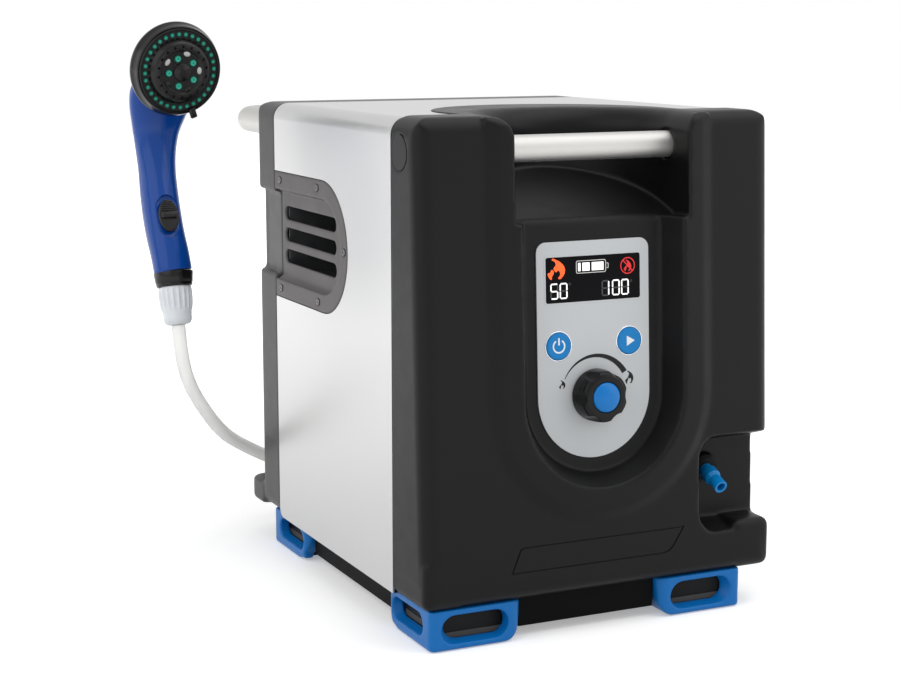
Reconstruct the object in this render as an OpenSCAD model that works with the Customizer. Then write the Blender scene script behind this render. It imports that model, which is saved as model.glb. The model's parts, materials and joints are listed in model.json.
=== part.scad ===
// Portable propane water heater with a hand shower.
// Millimetres. +X is the right-hand side seen from the front, +Y runs to the back, +Z is up.
// The origin lies on the floor, midway between the four feet.

/* [Case] */
// Width of the case
body_w = 300; // [285:1:330]
// Height of the steel top above the case's lower edge
body_h = 356; // [340:1:400]
// Depth of the front cover at its lower edge
front_depth = 60; // [56:1:68]
// Depth of the steel wrap
steel_depth = 245; // [235:1:290]
// Depth of the rear cover
rear_depth = 55; // [50:1:66]
// Backward lean of the front face, in degrees
lean = 2.86; // [2:0.02:3.4]
// Thickness of the moulded covers
cover_wall = 3; // [2.5:0.1:3.6]
// Thickness of the steel sheet
sheet_t = 1.2; // [1:0.1:1.5]
// Height of the front cover above the steel top
cover_proud = 1.2; // [0.8:0.1:1.6]

/* [Feet] */
// Height of the feet
foot_h = 31; // [26:1:37]
// Length of a foot along the case's side
foot_l = 80; // [68:1:94]
// Width of a foot along the case's front
foot_w = 76; // [68:1:88]
// Radius of the lower inner end of a foot
foot_end_r = 22; // [16:1:24]
// Distance of the left feet from the case's left side
foot_left_inset = 5.4; // [4:0.2:8]
// Distance of the right feet from the case's right side
foot_right_inset = 25.6; // [20:0.2:30]

/* [Control panel] */
// Half width of the silver panel
panel_r = 48; // [42:0.5:52]
// Height of the panel's round centre above the case's lower edge
panel_z = 147.5; // [140:0.5:160]
// Length of the panel above its round centre
panel_up = 116.5; // [108:0.5:124]
// Depth of the panel's face behind the front face
panel_sink = 14.4; // [11:0.1:16]
// Half width of the raised rim's inner edge
rim_r = 68.5; // [65:0.5:72]
// Half width of the raised rim's outer edge
rim_outer_r = 95; // [90:0.5:100]
// Height of the raised rim above the front face
rim_proud = 5.2; // [3:0.1:6.2]
// Width of the display
lcd_w = 82; // [70:1:88]
// Height of the display
lcd_h = 35.4; // [30:0.2:40]
// Diameter of the push buttons
button_d = 20.4; // [17:0.1:24]
// Distance between the two buttons
button_pitch = 60.8; // [56:0.2:66]
// Travel of the push buttons
button_travel = 1.5; // [1:0.1:2]
// Largest diameter of the knob
knob_d = 40; // [34:0.5:44]
// Height of the knob
knob_h = 18; // [14:0.5:22]
// Diameter of the knob's coloured cap
knob_cap_d = 22.5; // [18:0.5:25]

/* [Carrying handles] */
// Diameter of the front bar
bar_d = 20.2; // [17:0.2:22]
// Height of the front bar above the case's lower edge
bar_z = 331.5; // [322:0.5:334]
// Half width of the hand recess around the front bar
recess_r = 73; // [70:0.5:76]
// Diameter of the rear handle tube
loop_d = 22.5; // [19:0.5:25]
// Reach of the rear handle behind the rear cover
loop_reach = 68; // [60:1:80]
// Bend radius of the rear handle
loop_bend = 25; // [22:1:32]

/* [Exhaust grille] */
// Radius of the grille's round end
grille_r = 53.4; // [48:0.2:58]
// Height of the grille's centre above the case's lower edge
grille_z = 246.7; // [236:0.5:256]
// Radius of the dish in the grille
dish_r = 39; // [36:0.5:42]
// Depth of the dish
dish_sink = 6; // [4.5:0.1:7]
// Height of a slot in the grille
slot_h = 11; // [9:0.2:13]
// Distance between two slots
slot_pitch = 18.2; // [16.4:0.2:20]

/* [Hand shower and hose] */
// Outer diameter of the hose
hose_d = 11.5; // [9.6:0.1:11.6]
// Outer diameter of the spray head
head_d = 77; // [70:1:88]
// Number of outer nozzles
nozzle_count = 36; // [30:1:42]

/* [Hidden] */
$fn = 96;
eps = 0.01;

// Case
front_y = -170;
case_z = foot_h;
steel_y0 = front_y + front_depth;
steel_y1 = steel_y0 + steel_depth;
rear_y = steel_y1 + rear_depth;
top_z = case_z + body_h;
cover_top = top_z + cover_proud;
front_corner_r = 12;
top_corner_r = 15;
bottom_corner_r = 20;
top_edge_r = 13;
bottom_edge_r = 10;
rear_corner_r = 20;
far = 600;

// Raised rim, panel recess and hand recess of the front cover
rim_step_r = rim_outer_r - 9;
rim_step_h = rim_proud * 0.7;
floor_sink = panel_sink + 1.2;
floor_r = rim_r - 10;
bar_y = front_y + 45;
flare_r = 17;
ledge_z = 279;
ledge_slope = 0.36;
ledge_round = 8;
tongue_r = 96;
tongue_y = front_y + 88;
tongue_gap = 0.4;
tongue_drop = 3;
lcd_z = 235.6;
buttons_z = 186.2;
button_gap = 0.3;
stem_d = 8;
stem_hole_d = 9;
plate_t = 1.2;

// Connector notch at the lower right of the front cover
notch_x = body_w / 2 - 66;
notch_z0 = 32;
notch_z1 = 108.5;
notch_depth = 27;
notch_taper = 7;
notch_r = 18;
nipple_x = body_w / 2 - 45.5;
nipple_z = 79;
nipple_tilt = 25;
gland_d = 18;

// Raised outline of the blank plaque below the panel
plaque = [[-80, 21.5], [51, 21.5], [56, 22.7], [60, 26], [70, 41], [-69, 41], [-71.4, 40.2],
          [-72.9, 38.2]];
plaque_cut = 0.8;

// Rear gutter
gutter_reach = 29.7;
gutter_h = 19;
gutter_w = 13;
gutter_cut = 7;
gutter_lip = 12;

// Base pan
pan_z = 8;
pan_t = 1.5;
floor_z = case_z + 2;

// Rotates a child so that its +Z becomes the outward normal of the front face
module leaned() {
    translate([0, front_y, case_z]) rotate([-lean, 0, 0]) children();
}

// As leaned(), with the child's XY plane laid on the front face and its +Z pointing outward
module on_front() {
    leaned() rotate([90, 0, 0]) children();
}

// As leaned(), with the child's +Z pointing out along the water nipple
module on_nipple() {
    leaned() translate([nipple_x, notch_depth, nipple_z]) rotate([90 + nipple_tilt, 0, 0]) children();
}

function unit(v) = v / norm(v);

// Corner piece that is taken off a convex outline to round it
module corner_cut(before, at, after, r) {
    u = unit(before - at);
    w = unit(after - at);
    half = acos(u * w) / 2;
    centre = at + unit(u + w) * r / sin(half);
    reach = r / tan(half);
    difference() {
        polygon([at + u * reach, centre, at + w * reach, at + (at - centre) * 0.5]);
        translate(centre) circle(r);
    }
}

// Convex outline with each corner rounded by its own radius
module round_poly(points, radii) {
    count = len(points);
    difference() {
        polygon(points);
        for (i = [0:count - 1])
            if (radii[i] > 0)
                corner_cut(points[(i + count - 1) % count], points[i], points[(i + 1) % count],
                           radii[i]);
    }
}

// Rectangle from one corner to the other with four rounded corners
module round_box(low, high, radii) {
    round_poly([low, [high[0], low[1]], high, [low[0], high[1]]], radii);
}

// Extrudes a front view, drawn in X and Z, from one depth to another
module along_y(from, to) {
    translate([0, to, 0]) rotate([90, 0, 0]) linear_extrude(to - from) children();
}

// Extrudes a side view, drawn in Y and Z, across the width
module along_x(from, to) {
    translate([from, 0, 0]) rotate([90, 0, 90]) linear_extrude(to - from) children();
}

// ---------------------------------------------------------------- front cover

// Side view of the front cover, drawn on the leaning axes: inset is the distance inside its outer face
module front_side(inset, proud) {
    lean_tan = tan(lean);
    y0 = inset - proud;
    low = inset / cos(lean);
    high = (cover_top - inset - case_z) / cos(lean);
    round_poly([[y0, low + y0 * lean_tan], [far, low + far * lean_tan],
                [far, high + far * lean_tan], [y0, high + y0 * lean_tan]],
               [bottom_edge_r - inset, 0, 0, top_edge_r - inset]);
}

module front_block(inset, proud) {
    w = body_w / 2 - inset;
    intersection() {
        along_y(front_y - far, steel_y0 + inset)
            round_box([-w, case_z + inset], [w, cover_top - inset],
                      [bottom_corner_r - inset, bottom_corner_r - inset,
                       top_corner_r - inset, top_corner_r - inset]);
        leaned() along_x(-w, w) front_side(inset, proud);
        leaned()
            translate([0, 0, -far / 2])
                linear_extrude(2 * far)
                    round_box([-w, -proud + inset], [w, far],
                              [front_corner_r - inset, front_corner_r - inset, 0, 0]);
    }
}

// Half section of the raised U-shaped rim: distance from its centre line, height
module rim_section() {
    polygon([[rim_r - 20, -5], [rim_outer_r + eps, -5], [rim_outer_r, 0],
             [rim_step_r, rim_step_h], [rim_r, rim_proud], [rim_r - 20, rim_proud]]);
}

module raised_rim() {
    intersection() {
        on_front()
            translate([0, panel_z, 0]) {
                rotate([0, 0, 180]) rotate_extrude(angle = 180) rim_section();
                rotate([-90, 0, 0])
                    for (side = [0, 1])
                        mirror([side, 0, 0])
                            linear_extrude(far) mirror([0, 1]) rim_section();
            }
        leaned() along_x(-far, far) front_side(0, rim_proud);
        along_y(front_y - far, steel_y0) translate([-far, 0]) square([2 * far, cover_top]);
    }
}

// Half section of the hand recess: a straight wall that flares out to the top
module recess_section(grow) {
    difference() {
        square([recess_r + flare_r, cover_top + 5]);
        translate([recess_r + grow, -far]) square([far, far + cover_top - flare_r]);
        translate([recess_r + flare_r, cover_top - flare_r]) circle(flare_r - grow);
    }
}

// Side view of the hand recess: the space above its sloping floor, with a rounded front edge
module recess_side(grow) {
    nose = [front_y + ledge_z * tan(lean) + floor_sink / cos(lean) + grow, case_z + ledge_z - grow];
    up = unit([-ledge_slope, 1]);
    r = ledge_round - grow;
    centre = nose + [r, ledge_slope * r - r * norm([1, ledge_slope])];
    polygon([nose, nose + [far, far * ledge_slope], [far, 2 * far], [-far, 2 * far], [-far, nose[1]]]);
    difference() {
        polygon([[nose[0] - 0.5, centre[1]], centre, centre + up * (r + 1), [nose[0] - 0.5, nose[1] + 1]]);
        translate(centre) circle(r);
    }
}

module hand_recess(grow) {
    intersection() {
        translate([0, bar_y, 0]) {
            rotate_extrude(angle = 180) recess_section(grow);
            rotate([90, 0, 0])
                for (side = [0, 1])
                    mirror([side, 0, 0]) linear_extrude(far) recess_section(grow);
        }
        along_x(-far, far) recess_side(grow);
    }
}

// The recess that the control panel lies in
module panel_recess(grow) {
    back = floor_sink + grow;
    front = rim_proud + 8;
    slope = (rim_r - floor_r) / (floor_sink + rim_proud);
    r_back = floor_r + grow;
    r_front = r_back + slope * (back + front);
    rise = ledge_z + 12 - panel_z;
    on_front()
        translate([0, panel_z, -back]) {
            cylinder(back + front, r_back, r_front);
            rotate([-90, 0, 0])
                linear_extrude(rise)
                    polygon([[-r_back, 0], [r_back, 0], [r_front, -back - front],
                             [-r_front, -back - front]]);
        }
}

// The notch for the water connection, open to the front and to the right
module notch(grow) {
    leaned()
        intersection() {
            along_y(-far, notch_depth + grow)
                round_box([notch_x - grow, notch_z0 - grow], [far, notch_z1 + grow],
                          [notch_r + grow, 0, 0, notch_r + grow]);
            along_x(-far, far)
                polygon([[-far, notch_z0 - grow - notch_taper * far / notch_depth],
                         [notch_depth + grow, notch_z0 - grow + notch_taper],
                         [notch_depth + grow, notch_z1 + grow - notch_taper],
                         [-far, notch_z1 + grow + notch_taper * far / notch_depth]]);
        }
}

module front_openings(grow) {
    hand_recess(grow);
    panel_recess(grow);
    notch(grow);
}

// Rim of the hand recess that lies on the steel top
module tongue() {
    for (level = [[top_z, cover_top - top_z, tongue_r],
                  [top_z - tongue_drop, tongue_drop + eps, tongue_r - 2.4 - tongue_gap]])
        translate([0, 0, level[0]])
            linear_extrude(level[1]) {
                translate([0, tongue_y]) circle(level[2]);
                translate([-level[2], steel_y0 - 5]) square([2 * level[2], tongue_y - steel_y0 + 5]);
            }
}

module plaque_groove() {
    inner = [[-78.7, 22.5], [50.8, 22.5], [55.4, 23.6], [59.1, 26.6], [68.1, 40], [-68.8, 40],
             [-70.7, 39.4], [-72, 37.8]];
    on_front()
        translate([0, 0, -plaque_cut])
            linear_extrude(5)
                difference() {
                    polygon(plaque);
                    polygon(inner);
                }
}

module front_cover() {
    color("#242425")
        difference() {
            union() {
                front_block(0, 0);
                raised_rim();
                tongue();
                intersection() {
                    hand_recess(cover_wall);
                    leaned() along_x(-body_w / 2, body_w / 2) front_side(0, 0);
                }
            }
            front_openings(0);
            difference() {
                front_block(cover_wall, 0);
                front_openings(cover_wall);
            }
            plaque_groove();
            panel_holes();
            cover_bar_holes();
            on_nipple() cylinder(30, d = gland_d, center = true);
        }
}

module panel_holes() {
    on_front()
        translate([0, 0, -floor_sink - 10]) {
            for (side = [-1, 1])
                translate([side * button_pitch / 2, buttons_z])
                    cylinder(12, d = button_d + 2 * button_gap);
            translate([0, panel_z]) cylinder(12, d = stem_hole_d);
            translate([-lcd_w / 2 + 4, lcd_z - lcd_h / 2 + 4]) cube([lcd_w - 8, lcd_h - 8, 12]);
        }
}

cap_d = 26;
cap_t = 1.6;
tube_gap = 0.15;
bar_half = body_w / 2 - cap_t;

module cover_bar_holes() {
    translate([0, bar_y, case_z + bar_z])
        rotate([0, 90, 0]) {
            cylinder(body_w + 2, d = bar_d + 2 * tube_gap, center = true);
            for (side = [-1, 1])
                translate([0, 0, side * (bar_half + 5)])
                    cylinder(10, d = cap_d + 4 * tube_gap, center = true);
        }
}

module front_bar() {
    color("#b9b6b0")
        translate([0, bar_y, case_z + bar_z])
            rotate([0, 90, 0])
                difference() {
                    cylinder(2 * bar_half, d = bar_d, center = true);
                    cylinder(body_w, d = bar_d - 3, center = true);
                }
}

module bar_cap(side) {
    color("#3a3a3c")
        translate([side * bar_half, bar_y, case_z + bar_z])
            rotate([0, side * 90, 0]) cylinder(cap_t, d = cap_d);
}

// ---------------------------------------------------------------- steel wrap

module wrap_outline(inset) {
    w = body_w / 2 - inset;
    r = top_corner_r - 2 - inset;
    round_box([-w, case_z - inset], [w, top_z - inset], [0, 0, r, r]);
}

// Outline of the grille, drawn in Y and Z, open to the rear edge of the steel
module grille_outline(r) {
    translate([grille_y, case_z + grille_z]) circle(r);
    translate([grille_y, case_z + grille_z - r]) square([steel_y1 - grille_y, 2 * r]);
}

grille_y = steel_y1 - 108;

module steel_wrap() {
    corner = 8;
    color("#c2c0bc")
        difference() {
            along_y(steel_y0, steel_y1)
                difference() {
                    wrap_outline(0);
                    wrap_outline(sheet_t);
                }
            translate([0, tongue_y, top_z - 20])
                linear_extrude(40) {
                    circle(tongue_r - 2.4);
                    translate([2.4 - tongue_r, -far]) square([2 * tongue_r - 4.8, far]);
                }
            along_x(-far, 0)
                union() {
                    grille_outline(grille_r);
                    translate([steel_y1 - corner, case_z])
                        difference() {
                            translate([0, -1]) square([corner + 1, corner + 1]);
                            translate([0, corner]) circle(corner);
                        }
                }
        }
}

// ---------------------------------------------------------------- rear cover

module rear_block(inset) {
    w = body_w / 2 - inset;
    back = rear_y - inset;
    low = case_z + inset;
    high = top_z - inset;
    side_r = rear_corner_r - inset;
    intersection() {
        along_y(steel_y1 - inset, far)
            round_box([-w, low], [w, high],
                      [12 - inset, 12 - inset, top_corner_r - 2 - inset, top_corner_r - 2 - inset]);
        along_x(-w, w)
            round_box([-far, low], [back, high], [0, 0, side_r, 0]);
        translate([0, 0, -eps])
            linear_extrude(far) round_box([-w, -far], [w, back], [0, 0, side_r, side_r]);
    }
}

// Scallop that carries the grille's dish on around the rear cover's corner
module scallop(grow) {
    half = dish_r - 4 + grow;
    x0 = -body_w / 2 + dish_sink + grow;
    intersection() {
        along_x(-far, far)
            round_box([steel_y1 - 1, case_z + grille_z - half],
                      [far, case_z + grille_z + half], [0, 0, 0, 0]);
        translate([0, 0, case_z])
            linear_extrude(body_h)
                polygon([[-far, steel_y1 - 1], [x0, steel_y1 - 1], [x0 + 3, rear_y - 14],
                         [x0 + 3, far], [-far, far]]);
    }
}

// Gutter along the lower edge of the rear cover
module gutter() {
    w = body_w / 2;
    back = rear_y + gutter_reach;
    lip_z = case_z + gutter_h;
    difference() {
        intersection() {
            translate([0, 0, case_z - 1])
                linear_extrude(gutter_h + 10)
                    round_box([-w, rear_y - 12], [w, back], [0, 0, rear_corner_r, rear_corner_r]);
            along_x(-w, w)
                round_poly([[rear_y - 12, case_z], [back - 4, case_z], [back, case_z + 5],
                            [back, lip_z], [rear_y - 12, lip_z]], [0, 4, 4, 6, 0]);
        }
        translate([0, 0, lip_z - gutter_cut])
            linear_extrude(far)
                round_box([-w + 14, back - gutter_lip - gutter_w],
                          [w - 14, back - gutter_lip], [6, 6, 6, 6]);
    }
}

loop_x = body_w / 2 - 15;
loop_z = top_z - 18.5;

module rear_cover() {
    color("#5c5b5e")
        difference() {
            union() {
                rear_block(0);
                gutter();
            }
            scallop(0);
            difference() {
                rear_block(cover_wall);
                scallop(cover_wall);
            }
            for (side = [-1, 1])
                translate([side * loop_x, steel_y1 + 20, loop_z])
                    rotate([-90, 0, 0]) cylinder(far, d = loop_d + 2 * tube_gap);
            rear_vents();
            rear_fitting_holes();
        }
}

// Air slots in the back
vent_w = 70;
vent_h = 5;
vent_pitch = 13;
vent_rows = 6;
vent_z = 190;

module rear_vents() {
    for (row = [0:vent_rows - 1])
        for (side = [-1, 1])
            translate([side * 58, rear_y - 10, case_z + vent_z + row * vent_pitch])
                rotate([-90, 0, 0])
                    linear_extrude(20)
                        union() {
                            square([vent_w - vent_h, vent_h], center = true);
                            for (tip = [-1, 1])
                                translate([tip * (vent_w - vent_h) / 2, 0]) circle(d = vent_h);
                        }
}

outlet_x = 4;
outlet_z = case_z + gutter_h + 16;
gas_x = 60;
gas_z = case_z + 69;
socket_x = -50;
socket_z = gas_z;
fitting_d = 22;
socket_d = 16;

module rear_fitting_holes() {
    for (hole = [[outlet_x, outlet_z, fitting_d], [gas_x, gas_z, fitting_d],
                 [socket_x, socket_z, socket_d]])
        translate([hole[0], rear_y - 10, hole[1]])
            rotate([-90, 0, 0]) cylinder(20, d = hole[2] + 0.4);
}

// ---------------------------------------------------------------- base and feet

left_x = -body_w / 2 + foot_left_inset;
right_x = body_w / 2 - foot_right_inset;
foot_front_y = front_y + 4;
foot_rear_y = rear_y - 24;

// Outline of one foot, drawn from its outer edge inwards
module foot_outline(length, r) {
    round_poly([[0, 0], [length - 4, 0], [length, foot_h], [0, foot_h]], [2, r, 0, 0]);
}

module stadium(length, height) {
    translate([height / 2, 0]) circle(d = height);
    translate([height / 2, -height / 2]) square([length - height, height]);
    translate([length - height / 2, 0]) circle(d = height);
}

// One foot with its outer corner at the origin; X runs in along the front, Y along the side
module foot() {
    wall = 4;
    color("#0b72c4")
        difference() {
            intersection() {
                along_y(0, foot_l) foot_outline(foot_w, 14);
                along_x(0, foot_w) foot_outline(foot_l, foot_end_r);
                translate([0, 0, -1])
                    linear_extrude(foot_h + 2)
                        round_box([0, 0], [foot_w, foot_l], [5, 10, 0, 10]);
            }
            translate([wall, wall, 3]) cube([foot_w - 3 * wall, foot_l - 3 * wall, foot_h - 6]);
            along_y(-1, wall + 1) translate([9, 15.5]) stadium(55, 22);
            along_x(-1, wall + 1) translate([15, 16.5]) stadium(56, 18);
        }
}

// Puts a child at one corner of the case: side and end are -1 for left and front, 1 for right and rear
module at_corner(side, end) {
    translate([side < 0 ? left_x : right_x, end < 0 ? foot_front_y : foot_rear_y, 0])
        mirror([side < 0 ? 0 : 1, 0, 0])
            mirror([0, end < 0 ? 0 : 1, 0]) children();
}

module foot_at(side, end) {
    at_corner(side, end) foot();
}

module foot_pocket(grow) {
    translate([-20, -20, -1]) cube([foot_w + 20 + grow, foot_l + 20 + grow, case_z + 1]);
}

// Tray under the case, with a pocket for each foot
module base_pan() {
    clear = 0.3;
    edge = 8;
    x0 = left_x + edge;
    x1 = right_x - edge;
    y0 = foot_front_y + edge;
    y1 = foot_rear_y - edge;
    w = body_w / 2 - sheet_t;
    color("#1d1d1e")
        difference() {
            union() {
                translate([-w, steel_y0, case_z]) cube([2 * w, steel_depth, floor_z - case_z]);
                translate([x0, y0, pan_z]) cube([x1 - x0, y1 - y0, case_z - pan_z]);
            }
            for (side = [-1, 1])
                for (end = [-1, 1])
                    at_corner(side, end) foot_pocket(clear);
            difference() {
                translate([x0 + pan_t, y0 + pan_t, pan_z + pan_t])
                    cube([x1 - x0 - 2 * pan_t, y1 - y0 - 2 * pan_t, case_z - pan_z - pan_t]);
                for (side = [-1, 1])
                    for (end = [-1, 1])
                        at_corner(side, end) foot_pocket(clear + pan_t);
            }
        }
}

// ---------------------------------------------------------------- control panel

panel_top = panel_z + panel_up;
board_gap = 12;
board_t = 1.6;
board_back = floor_sink + cover_wall + board_gap;
flange_t = 1.2;

module control_panel() {
    color("#b9bcc0")
        on_front()
            translate([0, 0, -floor_sink])
                linear_extrude(plate_t)
                    difference() {
                        union() {
                            translate([0, panel_z]) circle(panel_r);
                            round_box([-panel_r, panel_z], [panel_r, panel_top], [0, 0, 8, 8]);
                        }
                        translate([-lcd_w / 2, lcd_z - lcd_h / 2]) square([lcd_w, lcd_h]);
                        for (side = [-1, 1])
                            translate([side * button_pitch / 2, buttons_z])
                                circle(d = button_d + 2 * button_gap);
                        translate([0, panel_z]) circle(d = stem_hole_d);
                    }
}

module lcd_window() {
    color("#141416")
        on_front()
            translate([-lcd_w / 2, lcd_z - lcd_h / 2, -floor_sink]) cube([lcd_w, lcd_h, plate_t]);
}

// Circuit board with the display module, two switches and four spacers
module control_board() {
    half_w = panel_r + 6;
    low = buttons_z - 18;
    high = lcd_z + lcd_h / 2 + 8;
    switch_h = board_gap - flange_t - 2 * button_gap - button_travel;
    color("#1f6b3a")
        on_front()
            translate([0, 0, -board_back]) {
                translate([-half_w, low, -board_t]) cube([2 * half_w, high - low, board_t]);
                translate([5 - lcd_w / 2, lcd_z - lcd_h / 2 + 5])
                    cube([lcd_w - 10, lcd_h - 10, board_gap + cover_wall]);
                for (side = [-1, 1]) {
                    translate([side * button_pitch / 2, buttons_z]) cylinder(switch_h, d = 7);
                    for (h = [low + 5, high - 5])
                        translate([side * (half_w - 5), h]) cylinder(board_gap, d = 6);
                }
            }
}

// Push button with the flange that keeps it behind the cover; side is -1 for left, 1 for right
module push_button(side) {
    back = floor_sink + cover_wall + button_gap;
    color("#1283c6")
        on_front()
            translate([side * button_pitch / 2, buttons_z, -back]) {
                cylinder(back - panel_sink + 1.2, d = button_d);
                translate([0, 0, -flange_t]) cylinder(flange_t, d = button_d + 4);
            }
}

knob_gap = 0.6;
stem_gap = 0.1;
stem_in = 20;
valve_front = floor_sink + cover_wall;
valve_len = 50;

module gas_knob() {
    lobes = 6;
    waist = knob_d / 2 - 2.5;
    color("#161617")
        on_front()
            translate([0, panel_z, -panel_sink + knob_gap])
                difference() {
                    union() {
                        cylinder(2.5, d = knob_d);
                        cylinder(knob_h, r = waist);
                        for (k = [0:lobes - 1])
                            rotate([0, 0, k * 360 / lobes])
                                translate([waist - 3, 0]) cylinder(knob_h - 2, r = 5);
                    }
                    for (k = [0:lobes - 1])
                        rotate([0, 0, (k + 0.5) * 360 / lobes])
                            translate([waist + 4, 0, 3]) cylinder(knob_h, r = 6.5);
                    translate([0, 0, knob_h - 1.5]) cylinder(5, d = knob_cap_d);
                    translate([0, 0, -1]) cylinder(knob_h - 4, d = stem_d + stem_gap);
                }
}

module knob_cap() {
    dome = 3;
    r = (pow(knob_cap_d / 2, 2) + dome * dome) / (2 * dome);
    color("#1a6fd0")
        on_front()
            translate([0, panel_z, -panel_sink + knob_gap + knob_h - 1.5])
                union() {
                    cylinder(1.5, d = knob_cap_d);
                    intersection() {
                        translate([0, 0, 1.5 + dome - r]) sphere(r);
                        translate([0, 0, 1.5]) cylinder(dome + 1, d = knob_cap_d);
                    }
                }
}

module valve_stem() {
    color("#c8a24a")
        on_front()
            translate([0, panel_z, -valve_front - stem_in])
                cylinder(stem_in + valve_front - panel_sink + knob_gap + knob_h - 5, d = stem_d);
}

module gas_valve() {
    clear = 0.05;
    color("#b98d3c")
        on_front()
            translate([0, panel_z, -valve_front - valve_len])
                difference() {
                    union() {
                        translate([-18, -16, 0]) cube([36, 32, valve_len - 8]);
                        translate([0, 0, valve_len - 8]) cylinder(8, d = 24);
                    }
                    translate([0, 0, valve_len - stem_in - 1]) cylinder(far, r = stem_d / 2 + clear);
                }
}

// ---------------------------------------------------------------- water and gas lines

module nipple_gland() {
    color("#151515")
        on_nipple()
            difference() {
                union() {
                    translate([0, 0, -10]) cylinder(13, d = gland_d);
                    translate([0, 0, 0]) cylinder(3, d1 = gland_d + 5, d2 = gland_d + 2);
                }
                cylinder(60, d = nipple_d, center = true);
            }
}

nipple_d = 10.4;
nipple_bore = 7;
nipple_out = 28;
nipple_in = 16;

module water_nipple() {
    color("#1486c2")
        on_nipple()
            difference() {
                union() {
                    translate([0, 0, -nipple_in]) cylinder(nipple_in + nipple_out, d = nipple_d);
                    translate([0, 0, 8]) cylinder(7, d = 13.5);
                    translate([0, 0, 15]) cylinder(3, d1 = 13.5, d2 = nipple_d);
                }
                cylinder(80, d = nipple_bore, center = true);
            }
}

// Bent pipe through a list of corner points, each corner a round bend
module pipe(points, d, bend) {
    last = len(points) - 1;
    way = [for (i = [0:last - 1]) unit(points[i + 1] - points[i])];
    trim = [for (i = [0:last]) i == 0 || i == last ? 0 : bend * tan(acos(way[i - 1] * way[i]) / 2)];
    for (i = [0:last - 1])
        translate(points[i] + way[i] * trim[i])
            rotate([0, acos(way[i][2]), atan2(way[i][1], way[i][0])])
                cylinder(norm(points[i + 1] - points[i]) - trim[i] - trim[i + 1], d = d);
    for (i = [1:1:last - 1]) {
        ahead = way[i - 1];
        inner = unit(way[i] - (way[i] * ahead) * ahead);
        normal = cross(ahead, inner);
        start = points[i] - ahead * trim[i];
        centre = start + inner * bend;
        multmatrix([[-inner[0], ahead[0], normal[0], centre[0]],
                    [-inner[1], ahead[1], normal[1], centre[1]],
                    [-inner[2], ahead[2], normal[2], centre[2]]])
            rotate_extrude(angle = acos(ahead * way[i])) translate([bend, 0]) circle(d = d);
    }
}

line_d = 12;
line_bend = 15;
pump_x = nipple_x;
pump_len = 60;
pump_y0 = steel_y0 + 42;
pump_y1 = pump_y0 + pump_len;
pump_z = floor_z + 27;

module inlet_pipe() {
    back = front_y + notch_depth + 4 + nipple_in;
    start_z = case_z + nipple_z + 5;
    color("#8a8d90")
        pipe([[nipple_x, back - 1, start_z], [pump_x, back + 26, start_z],
              [pump_x, back + 26, pump_z], [pump_x, pump_y0, pump_z]], line_d, line_bend);
}

module water_pump() {
    color("#2b2b2e")
        difference() {
            union() {
                translate([pump_x - 24, pump_y0, floor_z]) cube([48, pump_y1 - pump_y0 - 22, 50]);
                translate([pump_x, pump_y1, pump_z]) rotate([90, 0, 0]) cylinder(23, d = 38);
                translate([pump_x - 28, pump_y0 + 6, floor_z]) cube([56, 26, 3]);
            }
            for (side = [-1, 1])
                translate([pump_x + side * 26, pump_y0 + 19, floor_z - 1]) cylinder(9, d = 3);
        }
}

sensor_y0 = pump_y1 + 8;
sensor_y1 = sensor_y0 + 26;

module flow_sensor() {
    color("#e6e2d6")
        union() {
            translate([pump_x, sensor_y1, pump_z]) rotate([90, 0, 0]) cylinder(sensor_y1 - sensor_y0, d = 24);
            translate([pump_x - 7, sensor_y0 + 6, pump_z]) cube([14, 14, 18]);
        }
}

// Heat exchanger block and what stands under it
core_x = 85;
core_y0 = steel_y1 - 120;
core_y1 = steel_y1 - 10;
shelf_z = floor_z + 85;
shelf_t = 2;
box_z = shelf_z + shelf_t;
core_z0 = box_z + 95;
core_z1 = core_z0 + 60;
duct_z = core_z1 + 45;
core_t = 1.2;
tube_d = 14;
tube_z = core_z0 + 18;
tube_y0 = core_y0 + 27;
tube_y1 = core_y1 - 27;
tube_end = core_x + 3;

module cold_pipe() {
    color("#b0744a") {
        pipe([[pump_x, pump_y1, pump_z], [pump_x, sensor_y0, pump_z]], line_d, line_bend);
        pipe([[pump_x, sensor_y1, pump_z], [pump_x, tube_y0, pump_z],
              [pump_x, tube_y0, tube_z], [tube_end, tube_y0, tube_z]], line_d, line_bend);
    }
}

module outlet_elbow() {
    x = pump_x + 4;
    y = (steel_y1 + rear_y) / 2 - 3.5;
    color("#b0744a")
        pipe([[tube_end, tube_y1, tube_z], [x, tube_y1, tube_z], [x, y, tube_z], [x, y, outlet_z],
              [outlet_x, y, outlet_z], [outlet_x, rear_y - 12, outlet_z]], line_d, line_bend);
}

// Threaded union through the rear cover: flange outside, neck and pipe end
module rear_union(x, z, out_d, out_len) {
    translate([x, rear_y, z])
        rotate([-90, 0, 0]) {
            translate([0, 0, -12]) cylinder(12, d = fitting_d);
            cylinder(3, d = fitting_d + 6);
            cylinder(out_len, d = out_d);
        }
}

spigot_d = 13;
spigot_len = 15;

module hot_outlet() {
    color("#c9b27a")
        difference() {
            rear_union(outlet_x, outlet_z, spigot_d, spigot_len);
            translate([outlet_x, rear_y, outlet_z]) rotate([-90, 0, 0]) cylinder(40, d = 8);
        }
}

gas_out_d = 18;
gas_out_len = 17;
gas_bore_d = 7;

module gas_inlet() {
    color("#c9a552")
        difference() {
            rear_union(gas_x, gas_z, gas_out_d, gas_out_len);
            translate([gas_x, rear_y, gas_z]) rotate([-90, 0, 0]) cylinder(40, d = gas_bore_d);
        }
}

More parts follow.
